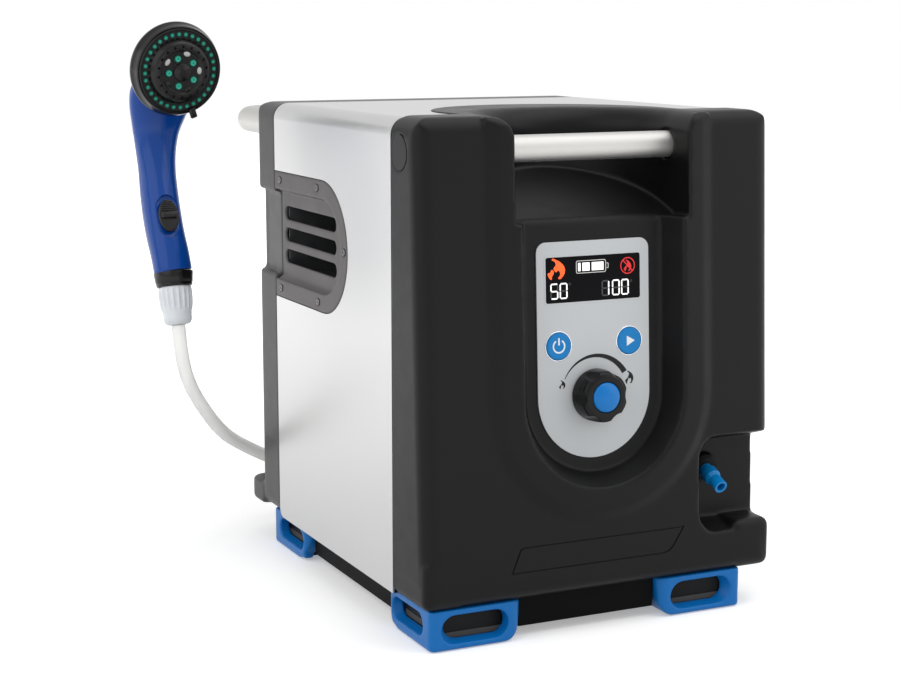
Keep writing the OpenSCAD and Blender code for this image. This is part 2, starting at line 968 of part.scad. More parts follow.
module charge_socket() {
    color("#202022")
        translate([socket_x, rear_y, socket_z])
            rotate([-90, 0, 0])
                difference() {
                    union() {
                        translate([0, 0, -14]) cylinder(15, d = socket_d);
                        cylinder(1.5, d = socket_d + 5);
                    }
                    translate([0, 0, -9]) cylinder(20, d = 9);
                }
}

gas_line_d = 9;
gas_bend = 12;
valve_y = front_y + 70;
valve_z = case_z + 145;
manifold_z = shelf_z + 28;

module gas_pipe() {
    color("#9a9c9e") {
        pipe([[gas_x, rear_y - 12, gas_z], [gas_x, valve_y, gas_z], [gas_x, valve_y, valve_z],
              [18, valve_y, valve_z]], gas_line_d, gas_bend);
        pipe([[0, valve_y + 5, valve_z - 10], [0, valve_y + 5, manifold_z], [0, core_y0 - 12, manifold_z]],
             gas_line_d, gas_bend);
    }
}

// ---------------------------------------------------------------- burner and heat exchanger

module inner_shelf() {
    leg = core_x + 5;
    color("#9fa2a5")
        along_y(core_y0 - 8, core_y1 + 6)
            difference() {
                translate([-leg, floor_z]) square([2 * leg, box_z - floor_z]);
                translate([-leg + shelf_t, floor_z - 1]) square([2 * (leg - shelf_t), shelf_z - floor_z + 1]);
            }
}

module burner_manifold() {
    color("#a7a9ab")
        translate([-core_x + 8, core_y0 - 12, manifold_z - 7]) cube([2 * core_x - 16, 12, 14]);
}

bar_count = 7;
bar_w = 9;

module burner_bars() {
    pitch = 2 * (core_x - 12) / (bar_count - 1);
    color("#8f8a84")
        for (i = [0:bar_count - 1])
            along_y(core_y0 + core_t, core_y1 - core_t)
                translate([(i - (bar_count - 1) / 2) * pitch, manifold_z - 7]) {
                    translate([-bar_w / 2, 0]) square([bar_w, 14]);
                    translate([0, 14]) circle(d = bar_w);
                }
}

// Open box with thin walls, as wide and deep as the heat exchanger
module core_casing(low, high) {
    difference() {
        translate([-core_x, core_y0, low]) cube([2 * core_x, core_y1 - core_y0, high - low]);
        translate([-core_x + core_t, core_y0 + core_t, low - 1])
            cube([2 * (core_x - core_t), core_y1 - core_y0 - 2 * core_t, high - low + 2]);
    }
}

module combustion_box() {
    color("#b0744a") core_casing(box_z, core_z0);
}

fin_pitch = 7;
fin_t = 0.8;

module tube_path() {
    for (y = [tube_y0, tube_y1])
        translate([-core_x - 2, y, tube_z])
            rotate([0, 90, 0]) cylinder(core_x + 2 + tube_end, d = tube_d);
    translate([-core_x - 2, (tube_y0 + tube_y1) / 2, tube_z])
        rotate([0, 0, 90])
            rotate_extrude(angle = 180) translate([(tube_y1 - tube_y0) / 2, 0]) circle(d = tube_d);
}

module heat_exchanger() {
    color("#b87a4e")
        difference() {
            union() {
                core_casing(core_z0, core_z1);
                for (x = [-core_x + fin_pitch:fin_pitch:core_x - fin_pitch])
                    translate([x, core_y0 + core_t / 2, core_z0 + 4])
                        cube([fin_t, core_y1 - core_y0 - core_t, core_z1 - core_z0 - 8]);
            }
            tube_path();
        }
}

module exchanger_tube() {
    color("#b97b50") tube_path();
}

hood_x = -body_w / 2 + dish_sink + 2.4;
hood_z = core_z1 - 30;

module exhaust_hood() {
    color("#a9adb0")
        difference() {
            along_y(core_y0 - 2, core_y1)
                polygon([[hood_x, hood_z], [-core_x, hood_z], [-core_x, core_z1], [core_x, core_z1],
                         [core_x, duct_z], [hood_x, duct_z]]);
            along_y(core_y0 - 2 + core_t, core_y1 - core_t) {
                translate([hood_x - 1, hood_z + core_t])
                    square([-core_x - hood_x + 1 - core_t, duct_z - hood_z - 2 * core_t]);
                translate([hood_x + 5, core_z1 + core_t])
                    square([core_x - hood_x - 5 - core_t, duct_z - core_z1 - 2 * core_t]);
                translate([-core_x + core_t, core_z1 - 1]) square([2 * (core_x - core_t), 5]);
            }
        }
}

module igniter() {
    color("#efe9dd")
        translate([0, core_y0, manifold_z + 30])
            rotate([90, 0, 0])
                for (x = [-36, -24])
                    translate([x, 0]) {
                        cylinder(14, d = 7);
                        cylinder(4, d = 10);
                    }
}

module battery_pack() {
    color("#2c4a6e")
        translate([-70, core_y0 + 7, floor_z]) cube([126, core_y1 - core_y0 - 14, 44]);
}

// ---------------------------------------------------------------- carrying loop and grille

module rear_handle() {
    axis_y = rear_y + loop_reach;
    start_y = steel_y1 + 20;
    color("#bdbab4")
        translate([0, 0, loop_z]) {
            for (side = [-1, 1])
                mirror([side < 0 ? 1 : 0, 0, 0]) {
                    translate([loop_x, start_y]) rotate([-90, 0, 0])
                        cylinder(axis_y - loop_bend - start_y, d = loop_d);
                    translate([loop_x - loop_bend, axis_y - loop_bend])
                        rotate_extrude(angle = 90) translate([loop_bend, 0]) circle(d = loop_d);
                }
            translate([0, axis_y, 0])
                rotate([0, 90, 0]) cylinder(2 * (loop_x - loop_bend), d = loop_d, center = true);
        }
}

grille_t = 2.4;
grille_out = 0.4;
grille_gap = 0.4;
screw_d = 5.6;
screw_spots = [[grille_y + 95, 46], [grille_y + 10, 46.4], [grille_y - 46, 0.8],
               [grille_y + 95, -45], [grille_y + 10, -45.5]];

// Dish cut of the grille: cone-walled half round, carried on to the rear edge
module dish(grow) {
    deep = dish_sink + grow;
    r0 = dish_r - 3.5 + grow;
    r1 = dish_r + grow;
    translate([-body_w / 2 + deep, grille_y, case_z + grille_z])
        rotate([0, -90, 0]) {
            cylinder(deep, r0, r1);
            rotate([-90, 0, 0])
                linear_extrude(steel_y1 - grille_y + 1)
                    polygon([[-r0, 0], [r0, 0], [r1, -deep], [-r1, -deep]]);
        }
}

module exhaust_grille() {
    x0 = -body_w / 2 - grille_out;
    slot_len = 114;
    color("#5a5654")
        difference() {
            intersection() {
                union() {
                    along_x(x0, x0 + grille_t) grille_outline(grille_r - grille_gap);
                    intersection() {
                        dish(grille_t);
                        along_x(x0, 0) grille_outline(grille_r - grille_gap);
                    }
                }
                translate([-far, -far, 0]) cube([2 * far, far + steel_y1, far]);
            }
            dish(0);
            for (k = [-1, 0, 1])
                along_x(-far, 0)
                    translate([grille_y - 14, case_z + grille_z + k * slot_pitch]) stadium(slot_len, slot_h);
            for (spot = screw_spots)
                translate([x0 - 1, spot[0], case_z + grille_z + spot[1]])
                    rotate([0, 90, 0]) {
                        cylinder(2.4, d = screw_d + 0.4);
                        cylinder(10, d = 3);
                    }
        }
}

module grille_screws() {
    x0 = -body_w / 2 - grille_out;
    color("#77767a")
        for (spot = screw_spots)
            translate([x0, spot[0], case_z + grille_z + spot[1]])
                rotate([0, 90, 0]) {
                    cylinder(1.4, d = screw_d);
                    cylinder(5, d = 3);
                }
}

// ---------------------------------------------------------------- swept tubes

// Direction of a route at one of its points
function heading(points, i) =
    unit(points[min(i + 1, len(points) - 1)] - points[max(i - 1, 0)]);

// Ring of points round a route's point: a and b are the half widths along side and across it
function ring(centre, dir, side, a, b, sides) =
    let (s = unit(side - (side * dir) * dir), t = cross(dir, s))
    [for (k = [0:sides - 1]) centre + s * a * cos(k * 360 / sides) + t * b * sin(k * 360 / sides)];

// Closed skin over rings that all have the same number of points
module skin(rings, sides) {
    last = (len(rings) - 1) * sides;
    polyhedron(
        points = [for (r = rings) for (p = r) p],
        faces = concat(
            [for (i = [0:len(rings) - 2]) for (k = [0:sides - 1])
                [i * sides + k, (i + 1) * sides + (k + 1) % sides, i * sides + (k + 1) % sides]],
            [for (i = [0:len(rings) - 2]) for (k = [0:sides - 1])
                [i * sides + k, (i + 1) * sides + k, (i + 1) * sides + (k + 1) % sides]],
            [for (k = [1:sides - 2]) [0, k, k + 1]],
            [for (k = [1:sides - 2]) [last, last + k + 1, last + k]]));
}

// ---------------------------------------------------------------- hand shower

face_at = [-236, 118, 415];
face_tip = 98.6;
face_turn = 5.2;
face_d = 64;
handle_sides = 16;

// Centre line of the handle from the ring up to the back of the head, with half widths
grip = [[-241.6, 131.5, 250, 16, 15], [-242.6, 136, 264, 16, 15.5], [-244, 143, 280, 16, 16.5],
        [-244.6, 150, 297, 16, 17], [-244.5, 157, 315, 15.8, 16.5], [-243.8, 163, 332, 15.5, 15.5],
        [-243.2, 167, 349, 17, 14.5], [-242.3, 168, 366, 19.2, 14], [-240.8, 165.5, 383, 22.8, 14],
        [-238.6, 158, 400, 24.5, 13.5], [-236.8, 147, 413, 23, 12]];

// Puts a child's +Z along the way the spray face looks
module at_face() {
    translate(face_at) rotate([face_tip, 0, face_turn]) children();
}

// Puts a child's +Z along the handle's lower end, pointing up the handle
nut_at = [-241, 122.5, 207];
nut_tilt = -14.5;
module at_nut(along) {
    translate(nut_at) rotate([nut_tilt, 0, 0]) translate([0, 0, along]) children();
}

head_back = 26;
face_seat = 3;

module head_solid() {
    cylinder_r = head_d / 2;
    translate([0, 0, -head_back])
        rotate_extrude()
            polygon([[0, 0], [22, 0], [31, 5], [cylinder_r - 1.5, 12], [cylinder_r, 16],
                     [cylinder_r, 20], [cylinder_r - 4, 25], [0, 25]]);
}

module handset_head() {
    color("#19191a")
        at_face()
            difference() {
                head_solid();
                translate([0, 0, -head_back + 25 - face_seat]) cylinder(20, d = face_d + 0.6);
                translate([0, 0, -head_back + 12]) cylinder(20, r = 5.05);
            }
}

module spray_face() {
    lift = 0.3;
    color("#222224")
        at_face()
            difference() {
                union() {
                    translate([0, 0, -head_back + 25 - face_seat + lift])
                        cylinder(face_seat + 0.7, d = face_d);
                    translate([0, 0, -head_back + 12 + 1]) cylinder(12, r = 5);
                }
                for (k = [0:17])
                    rotate([0, 0, k * 20]) translate([20.5, 0, -1.2]) cylinder(5, d = 3);
            }
}

nozzle_r = 28;

module spray_nozzles() {
    color("#1f8f78")
        at_face()
            union() {
                for (k = [0:nozzle_count - 1])
                    rotate([0, 0, k * 360 / nozzle_count])
                        translate([nozzle_r, 0, 0]) cylinder(1.2, d = 2.2);
                for (k = [0:4])
                    rotate([0, 0, 90 + k * 72]) translate([12, 0, 0]) cylinder(1.4, d = 4);
            }
}

// Cup at the handle's upper end that holds the back of the head
module handle_cup() {
    r = head_d / 2 - 0.9;
    at_face()
        translate([0, 0, -head_back])
            rotate_extrude()
                polygon([[0, -5], [20, -5], [29.5, -1.5], [r - 2, 4], [r, 9], [r - 2.4, 9.4], [0, 9.4]]);
}

module handset_handle() {
    sections = [for (g = grip) [g[0], g[1], g[2]]];
    color("#1a4fc4")
        difference() {
            union() {
                skin([for (i = [0:len(grip) - 1])
                        ring(sections[i], heading(sections, i), [1, 0, 0], grip[i][3], grip[i][4],
                             handle_sides)], handle_sides);
                handle_cup();
            }
            at_face() head_solid();
            switch_slot(0.5);
        }
}

// Track of the thumb switch in the front of the handle
module switch_slot(grow) {
    translate([-244, 134.5, 296])
        rotate([90 - 22, 0, 0])
            linear_extrude(30)
                union() {
                    for (end = [-9, 9]) translate([0, end]) circle(7 + grow);
                    translate([-7 - grow, -9]) square([14 + 2 * grow, 18]);
                }
}

module flow_switch() {
    color("#1b1b1c")
        translate([-244, 134.5, 296])
            rotate([90 - 22, 0, 0])
                union() {
                    translate([0, 0, 0.5]) cylinder(5, r = 6.8);
                    translate([-6.5, -6, 0.5]) cube([13, 12, 7.5]);
                }
}

module handset_ring() {
    color("#151516") at_nut(32) cylinder(12, d1 = 29, d2 = 33);
}

// Ribbed swivel nut between the handle and the hose
module hose_nut() {
    ribs = 24;
    color("#dfe3e4")
        at_nut(0)
            union() {
                cylinder(12, d1 = 18, d2 = 22);
                translate([0, 0, 12]) cylinder(20, d1 = 25, d2 = 27.5);
                for (k = [0:ribs - 1])
                    rotate([0, 0, k * 360 / ribs])
                        translate([12.4, -0.7, 12]) cube([1.6, 1.4, 18]);
            }
}

// ---------------------------------------------------------------- hose

hose_sides = 10;
lay_z = hose_d / 2 + 0.05;

// Route from the hand shower's nut, behind the rear cover and down to the floor
run_route = [[-241, 122.5, 207], [-240.6, 120.2, 193], [-238, 121, 173], [-231.5, 126, 155],
             [-219, 138, 136], [-203, 155, 116], [-185, 176, 98], [-166, 196, 84.5], [-147, 215, 72.5],
             [-127, 232, 60.5], [-105, 245, 49.5], [-81, 252.5, 38.5], [-56, 255, 28.5], [-31, 253.5, 19.5],
             [-6, 250, 12.5], [19, 246.8, 8], [44, 245.2, lay_z], [58, 245, lay_z], [70, 245, lay_z]];

coil_at = [70, 311];
coil_outer = 66;
coil_inner = 50;
coil_step = 24;
coil_flat = 1.125;
coil_layer = hose_d + 0.5;

// Turns gone through, from the start of the lower layer to the end of the upper one
coil_turns = 2 * coil_flat + 0.5;

function coil_radius(t) =
    t < coil_flat ? coil_outer - (coil_outer - coil_inner) * t / coil_flat
    : t < coil_flat + 0.5 ? coil_inner
    : coil_inner + (coil_outer - coil_inner) * (t - coil_flat - 0.5) / coil_flat;

function coil_height(t) =
    lay_z + coil_layer * (t < coil_flat ? 0
                          : t < coil_flat + 0.5 ? 0.5 - 0.5 * cos(360 * (t - coil_flat)) : 1);

function coil_point(t) =
    [coil_at[0] + coil_radius(t) * sin(360 * t), coil_at[1] - coil_radius(t) * cos(360 * t),
     coil_height(t)];

// Least gap between the coil's turns, measured between points at least half a turn apart
coil_probe = [for (i = [0:4 * round(coil_turns * coil_step)]) coil_point(i / 4 / coil_step)];
coil_gap = min([for (i = [0:len(coil_probe) - 1])
                   for (j = [i + 2 * coil_step:1:len(coil_probe) - 1])
                       norm(coil_probe[i] - coil_probe[j])]) - hose_d;
echo(coil_gap = coil_gap);

module hose_run() {
    last = len(run_route) - 1;
    color("#e8eaea")
        skin([for (i = [0:last])
                ring(run_route[i], i == last ? [1, 0, 0] : heading(run_route, i), [0.5, -1, 0],
                     hose_d / 2, hose_d / 2, hose_sides)], hose_sides);
}

module hose_coil() {
    steps = round(coil_turns * coil_step);
    turns = [for (i = [0:steps]) i * coil_turns / steps];
    path = [for (t = turns) coil_point(t)];
    color("#e8eaea")
        skin([for (i = [0:steps])
                ring(path[i], i == 0 ? [1, 0, 0] : i == steps ? [0, -1, 0] : heading(path, i), [0, 0, 1],
                     hose_d / 2, hose_d / 2, 6)], 6);
}

tail_z = lay_z + coil_layer;

// Route from the coil up to the outlet at the back
tail_route = [[4, 311, tail_z], [4, 299, tail_z], [4, 284, 21], [4, 269, 31], [4, 257, 44], [4, 244, 57],
              [4, 231, 64.5], [4, 222, 66], [4, 212, 66]];

module hose_tail() {
    last = len(tail_route) - 1;
    color("#e8eaea")
        skin([for (i = [0:last])
                ring(tail_route[i], i == 0 || i == last ? [0, -1, 0] : heading(tail_route, i), [1, 0, 0],
                     hose_d / 2, hose_d / 2, hose_sides)], hose_sides);
}

module hose_coupling() {
    color("#c3c6c8")
        translate([outlet_x, rear_y + 3, outlet_z])
            rotate([-90, 0, 0])
                difference() {
                    union() {
                        cylinder(14, d = 24);
                        translate([0, 0, 14]) cylinder(5, d = 17);
                    }
                    translate([0, 0, -1]) cylinder(spigot_len - 2, d = spigot_d);
                }
}

front_cover();
steel_wrap();
rear_cover();
base_pan();
foot_at(-1, -1);  // foot_front_left
foot_at(1, -1);  // foot_front_right
foot_at(-1, 1);  // foot_rear_left
foot_at(1, 1);  // foot_rear_right
front_bar();
bar_cap(-1);  // bar_cap_left
bar_cap(1);  // bar_cap_right
rear_handle();
exhaust_grille();
grille_screws();
control_panel();
lcd_window();
control_board();
push_button(-1);  // power_button
push_button(1);  // start_button
gas_knob();
knob_cap();
valve_stem();
gas_valve();
nipple_gland();
water_nipple();
inlet_pipe();
water_pump();
flow_sensor();
cold_pipe();
gas_inlet();
gas_pipe();
burner_manifold();
burner_bars();
inner_shelf();
combustion_box();
heat_exchanger();
exchanger_tube();
exhaust_hood();
igniter();
battery_pack();
outlet_elbow();
hot_outlet();
charge_socket();
handset_handle();
handset_head();
spray_face();
spray_nozzles();
flow_switch();
handset_ring();
hose_nut();
hose_run();
hose_coil();
hose_tail();
hose_coupling();
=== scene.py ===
import json
import math

import bmesh
import bpy
from mathutils import Matrix, Vector


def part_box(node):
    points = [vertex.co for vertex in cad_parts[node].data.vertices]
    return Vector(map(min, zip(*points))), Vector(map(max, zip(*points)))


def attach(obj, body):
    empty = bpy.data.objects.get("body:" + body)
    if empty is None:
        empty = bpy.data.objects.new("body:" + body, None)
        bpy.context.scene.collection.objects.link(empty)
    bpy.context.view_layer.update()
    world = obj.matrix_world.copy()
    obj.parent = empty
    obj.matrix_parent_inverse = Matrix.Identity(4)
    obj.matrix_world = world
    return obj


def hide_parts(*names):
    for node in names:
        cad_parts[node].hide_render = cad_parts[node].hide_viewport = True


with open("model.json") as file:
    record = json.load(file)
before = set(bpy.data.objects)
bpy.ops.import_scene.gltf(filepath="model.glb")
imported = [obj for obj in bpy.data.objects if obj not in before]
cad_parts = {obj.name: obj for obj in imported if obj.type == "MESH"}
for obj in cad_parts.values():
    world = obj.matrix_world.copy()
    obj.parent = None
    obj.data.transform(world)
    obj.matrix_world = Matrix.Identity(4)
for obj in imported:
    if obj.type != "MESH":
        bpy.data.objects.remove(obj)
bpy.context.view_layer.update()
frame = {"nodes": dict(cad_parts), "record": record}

# Portable gas water heater: metres, X to the right seen from the front, Y to the back, Z up.

# ---------------------------------------------------------------- camera

CAMERA_PLACE = (-0.6825, -1.3382, 0.4570)
CAMERA_YAW = math.radians(25.279)
CAMERA_PITCH = math.radians(9.7907)
LENS_MM = 74.01
SENSOR_MM = 36.0


def add_camera():
    bpy.ops.object.camera_add(location=CAMERA_PLACE,
                              rotation=(math.pi / 2 - CAMERA_PITCH, 0, -CAMERA_YAW))
    camera = bpy.context.object
    camera.name = "photo_camera"
    camera.data.lens = LENS_MM
    camera.data.sensor_width = SENSOR_MM
    bpy.context.scene.camera = camera


add_camera()

# ---------------------------------------------------------------- hose route

HOSE_D = 0.0115
LAY_Z = 0.0058
COIL_CENTRE = (0.070, 0.311)
COIL_OUTER = 0.066
COIL_INNER = 0.050
COIL_FLAT_TURNS = 1.125
COIL_CLIMB_TURNS = 0.5
COIL_LAYER = 0.012
COIL_STEPS_PER_TURN = 24

# Route from the hand shower's nut, behind the rear cover and down to the floor
RUN_ROUTE = [
    (-0.241, 0.1225, 0.207), (-0.2406, 0.1202, 0.193), (-0.238, 0.121, 0.173),
    (-0.2315, 0.126, 0.155), (-0.219, 0.138, 0.136), (-0.203, 0.155, 0.116),
    (-0.185, 0.176, 0.098), (-0.166, 0.196, 0.0845), (-0.147, 0.215, 0.0725),
    (-0.127, 0.232, 0.0605), (-0.105, 0.245, 0.0495), (-0.081, 0.2525, 0.0385),
    (-0.056, 0.255, 0.0285), (-0.031, 0.2535, 0.0195), (-0.006, 0.250, 0.0125),
    (0.019, 0.2468, 0.008), (0.044, 0.2452, LAY_Z), (0.058, 0.245, LAY_Z),
]

# Route from the coil up to the outlet at the back
TAIL_Z = LAY_Z + COIL_LAYER
TAIL_ROUTE = [
    (0.004, 0.299, TAIL_Z), (0.004, 0.284, 0.021), (0.004, 0.269, 0.031),
    (0.004, 0.257, 0.044), (0.004, 0.244, 0.057), (0.004, 0.231, 0.0645),
    (0.004, 0.222, 0.066), (0.004, 0.212, 0.066),
]


def coil_point(turns):
    climb_end = COIL_FLAT_TURNS + COIL_CLIMB_TURNS
    shrink = (COIL_OUTER - COIL_INNER) / COIL_FLAT_TURNS
    if turns < COIL_FLAT_TURNS:
        radius = COIL_OUTER - shrink * turns
        rise = 0
    elif turns < climb_end:
        radius = COIL_INNER
        rise = 0.5 - 0.5 * math.cos(2 * math.pi * (turns - COIL_FLAT_TURNS))
    else:
        radius = COIL_INNER + shrink * (turns - climb_end)
        rise = 1
    angle = 2 * math.pi * turns
    return (COIL_CENTRE[0] + radius * math.sin(angle),
            COIL_CENTRE[1] - radius * math.cos(angle),
            LAY_Z + COIL_LAYER * rise)


def coil_route():
    turns = 2 * COIL_FLAT_TURNS + COIL_CLIMB_TURNS
    steps = round(turns * COIL_STEPS_PER_TURN)
    return [coil_point(turns * i / steps) for i in range(steps + 1)]


HOSE_ROUTE = RUN_ROUTE + coil_route() + TAIL_ROUTE

# ---------------------------------------------------------------- mesh helpers


def deselect():
    if bpy.context.object and bpy.context.object.mode != "OBJECT":
        bpy.ops.object.mode_set(mode="OBJECT")
    bpy.ops.object.select_all(action="DESELECT")


def select_only(*pieces):
    deselect()
    for piece in pieces:
        piece.select_set(True)
    bpy.context.view_layer.objects.active = pieces[0]


def apply_modifiers(piece):
    select_only(piece)
    for modifier in list(piece.modifiers):
        bpy.ops.object.modifier_apply(modifier=modifier.name)


def smooth(piece, degrees=35):
    select_only(piece)
    bpy.ops.object.shade_smooth_by_angle(angle=math.radians(degrees))


def seat(piece, matrix=None):
    """Puts a finished piece's place into its mesh, so that its object sits at the origin."""
    select_only(piece)
    bpy.ops.object.transform_apply(location=True, rotation=True, scale=True)
    if matrix is not None:
        piece.data.transform(matrix)
    piece.data.update()


def to_mesh(piece):
    select_only(piece)
    bpy.ops.object.convert(target="MESH")
    return bpy.context.object


def hand_over(piece, name, body, slot, finish=None, replaces=()):
    """Names a piece, gives it its slot's finish or another one, and lets it ride on its body."""
    piece.name = name
    piece.data.name = name
    piece.data.materials.clear()
    piece.data.materials.append(MATERIALS[finish or slot])
    if replaces:
        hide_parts(*replaces)
    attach(piece, body)
    return piece


# ---------------------------------------------------------------- finishes

MATERIALS = {}


class Finish:
    """A Principled material and its node tree, read in Object coordinates."""

    def __init__(self, name, colour, roughness, metallic=0.0, **sockets):
        self.material = bpy.data.materials.new(name)
        self.material.use_nodes = True
        self.tree = self.material.node_tree
        self.shader = self.tree.nodes["Principled BSDF"]
        self.coords = self.tree.nodes.new("ShaderNodeTexCoord").outputs["Object"]
        self.shader.inputs["Base Color"].default_value = (*colour, 1)
        self.shader.inputs["Roughness"].default_value = roughness
        self.shader.inputs["Metallic"].default_value = metallic
        for socket, value in sockets.items():
            self.shader.inputs[socket.replace("_", " ")].default_value = value
        self.colour = colour
        self.roughness = roughness

    def node(self, kind, **values):
        made = self.tree.nodes.new(kind)
        for key, value in values.items():
            setattr(made, key, value)
        return made

    def link(self, source, target):
        self.tree.links.new(source, target)

    def stretched(self, scale):
        mapping = self.node("ShaderNodeMapping")
        mapping.inputs["Scale"].default_value = scale
        self.link(self.coords, mapping.inputs["Vector"])
        return mapping.outputs["Vector"]

    def noise(self, scale, detail=2.0, roughness=0.5, vector=None):
        made = self.node("ShaderNodeTexNoise")
        made.inputs["Scale"].default_value = scale
        made.inputs["Detail"].default_value = detail
        made.inputs["Roughness"].default_value = roughness
        self.link(vector or self.coords, made.inputs["Vector"])
        return made.outputs["Fac"]

    def spread(self, value, low, high, from_low=0.3, from_high=0.7):
        made = self.node("ShaderNodeMapRange")
        made.inputs["From Min"].default_value = from_low
        made.inputs["From Max"].default_value = from_high
        made.inputs["To Min"].default_value = low
        made.inputs["To Max"].default_value = high
        self.link(value, made.inputs["Value"])
        return made.outputs["Result"]

    def tint(self, factor, dark, light):
        """Base colour that runs between two shades of the finish's own colour."""
        made = self.node("ShaderNodeMix", data_type="RGBA")
        made.inputs["A"].default_value = (*[c * dark for c in self.colour], 1)
        made.inputs["B"].default_value = (*[min(c * light, 1) for c in self.colour], 1)
        self.link(factor, made.inputs["Factor"])
        self.link(made.outputs["Result"], self.shader.inputs["Base Color"])

    def rough(self, factor, spread):
        result = self.spread(factor, self.roughness - spread, self.roughness + spread)
        self.link(result, self.shader.inputs["Roughness"])

    def bump(self, height, strength, distance):
        made = self.node("ShaderNodeBump")
        made.inputs["Strength"].default_value = strength
        made.inputs["Distance"].default_value = distance
        self.link(height, made.inputs["Height"])
        self.link(made.outputs["Normal"], self.shader.inputs["Normal"])


def moulded(name, colour, roughness, grain=0.25, grain_scale=1600, tone=0.12, **sockets):
    """Adds a moulded plastic: a fine even grain, and a slow drift in tone and gloss."""
    finish = Finish(name, colour, roughness, **sockets)
    drift = finish.noise(9, detail=3)
    fine = finish.noise(grain_scale, detail=2)
    finish.tint(drift, 1 - tone, 1 + tone)
    finish.rough(finish.noise(60, detail=4), 0.03)
    finish.bump(fine, grain, 0.0001)
    MATERIALS[name] = finish.material


def brushed(name, colour, roughness, scale, strength, tone=0.06):
    """Adds a brushed metal: long scratches along the axis whose scale is small."""
    finish = Finish(name, colour, roughness, metallic=1.0)
    lines = finish.noise(1.0, detail=4, roughness=0.65, vector=finish.stretched(scale))
    finish.tint(lines, 1 - tone, 1 + tone)
    finish.rough(lines, 0.07)
    finish.bump(lines, strength, 0.00004)
    MATERIALS[name] = finish.material


def plain_metal(name, colour, roughness, tone=0.1):
    """Adds a turned or drawn metal with a slight stain."""
    finish = Finish(name, colour, roughness, metallic=1.0)
    stain = finish.noise(45, detail=5, roughness=0.6)
    finish.tint(stain, 1 - tone, 1 + tone)
    finish.rough(finish.noise(220, detail=3), 0.06)
    MATERIALS[name] = finish.material


def glowing(name, colour, strength):
    """Adds the glow of a lit segment of the display."""
    finish = Finish(name, colour, 0.4)
    mix = finish.noise(400, detail=1)
    finish.tint(mix, 0.94, 1.0)
    finish.shader.inputs["Emission Color"].default_value = (*colour, 1)
    finish.shader.inputs["Emission Strength"].default_value = strength
    MATERIALS[name] = finish.material


# How strongly a plastic mirrors what stands round it
FLAT = {"Specular_IOR_Level": 0.06}
DULL = {"Specular_IOR_Level": 0.16}
SATIN = {"Specular_IOR_Level": 0.25}

moulded("black_moulding", (0.0040, 0.0040, 0.0043), 0.40, grain=0.30, grain_scale=1500, **DULL)
brushed("brushed_sheet", (0.545, 0.545, 0.545), 0.38, (1400, 1400, 14), strength=0.10)
moulded("grey_moulding", (0.070, 0.069, 0.070), 0.44, grain=0.30, grain_scale=1500, **DULL)
moulded("black_sheet", (0.0020, 0.0020, 0.0022), 0.55, grain=0.35, grain_scale=900, **FLAT)
moulded("blue_rubber", (0.001, 0.138, 0.440), 0.36, grain=0.12, grain_scale=1200, tone=0.06,
        **SATIN)
brushed("steel_tube", (0.50, 0.495, 0.48), 0.50, (14, 1400, 1400), strength=0.06)
moulded("grille_grey", (0.105, 0.098, 0.099), 0.45, grain=0.35, grain_scale=1400, **DULL)
plain_metal("screw_steel", (0.15, 0.15, 0.155), 0.34)
moulded("panel_silver", (0.545, 0.565, 0.580), 0.42, grain=0.05, grain_scale=2600, tone=0.02,
        **SATIN)
moulded("display_glass", (0.003, 0.003, 0.004), 0.12, grain=0.0, tone=0.1, **FLAT)
moulded("circuit_board", (0.015, 0.11, 0.045), 0.4)
moulded("blue_button", (0.001, 0.195, 0.520), 0.30, grain=0.05, tone=0.05, **SATIN)
moulded("knob_black", (0.0060, 0.0060, 0.0060), 0.24, grain=0.08, **DULL)
moulded("blue_cap", (0.002, 0.165, 0.510), 0.24, grain=0.02, tone=0.05, **SATIN)
plain_metal("brass", (0.62, 0.43, 0.17), 0.33)
moulded("black_rubber", (0.006, 0.006, 0.006), 0.55, grain=0.2, **DULL)
moulded("grey_hose", (0.25, 0.25, 0.26), 0.5)
moulded("white_plastic", (0.72, 0.70, 0.64), 0.4)
plain_metal("copper", (0.72, 0.34, 0.20), 0.32)
plain_metal("aluminium_pipe", (0.62, 0.62, 0.64), 0.34)
plain_metal("burner_steel", (0.34, 0.31, 0.28), 0.42, tone=0.25)
plain_metal("zinc_sheet", (0.14, 0.145, 0.15), 0.50, tone=0.18)
moulded("ceramic", (0.80, 0.78, 0.72), 0.2, grain=0.0)
moulded("battery_wrap", (0.02, 0.06, 0.15), 0.3)
moulded("blue_gloss", (0.001, 0.050, 0.275), 0.17, grain=0.02, tone=0.08, **SATIN)
moulded("head_black", (0.0050, 0.0045, 0.0050), 0.20, grain=0.05, **SATIN)
moulded("green_rubber", (0.001, 0.060, 0.042), 0.4, grain=0.1, **SATIN)
moulded("clear_plastic", (0.66, 0.69, 0.72), 0.28, grain=0.05, tone=0.04)
moulded("clear_hose", (0.93, 0.93, 0.91), 0.40, grain=0.05, tone=0.03, Transmission_Weight=0.50,
        IOR=1.35)
plain_metal("bright_ring", (0.80, 0.82, 0.85), 0.20, tone=0.04)
moulded("print_white", (0.80, 0.83, 0.86), 0.4, grain=0.02, tone=0.03)
moulded("print_dark", (0.012, 0.013, 0.015), 0.45, grain=0.02, tone=0.1, **DULL)
glowing("lit_orange", (0.90, 0.085, 0.008), 0.95)
glowing("lit_red", (0.50, 0.006, 0.008), 0.7)
glowing("lit_grey", (0.42, 0.42, 0.40), 0.7)
glowing("lit_white", (0.80, 0.80, 0.78), 0.9)
glowing("lit_dim", (0.022, 0.022, 0.022), 0.4)
moulded("pale_green", (0.030, 0.380, 0.270), 0.35, grain=0.05, **SATIN)
# Painted highlight: light grey on the three upper jet lobes, which are really the head's glossy
# black
moulded("painted_highlight_grey", (0.42, 0.43, 0.42), 0.22, grain=0.02, tone=0.15)
moulded("switch_black", (0.012, 0.011, 0.011), 0.34, grain=0.15, **SATIN)
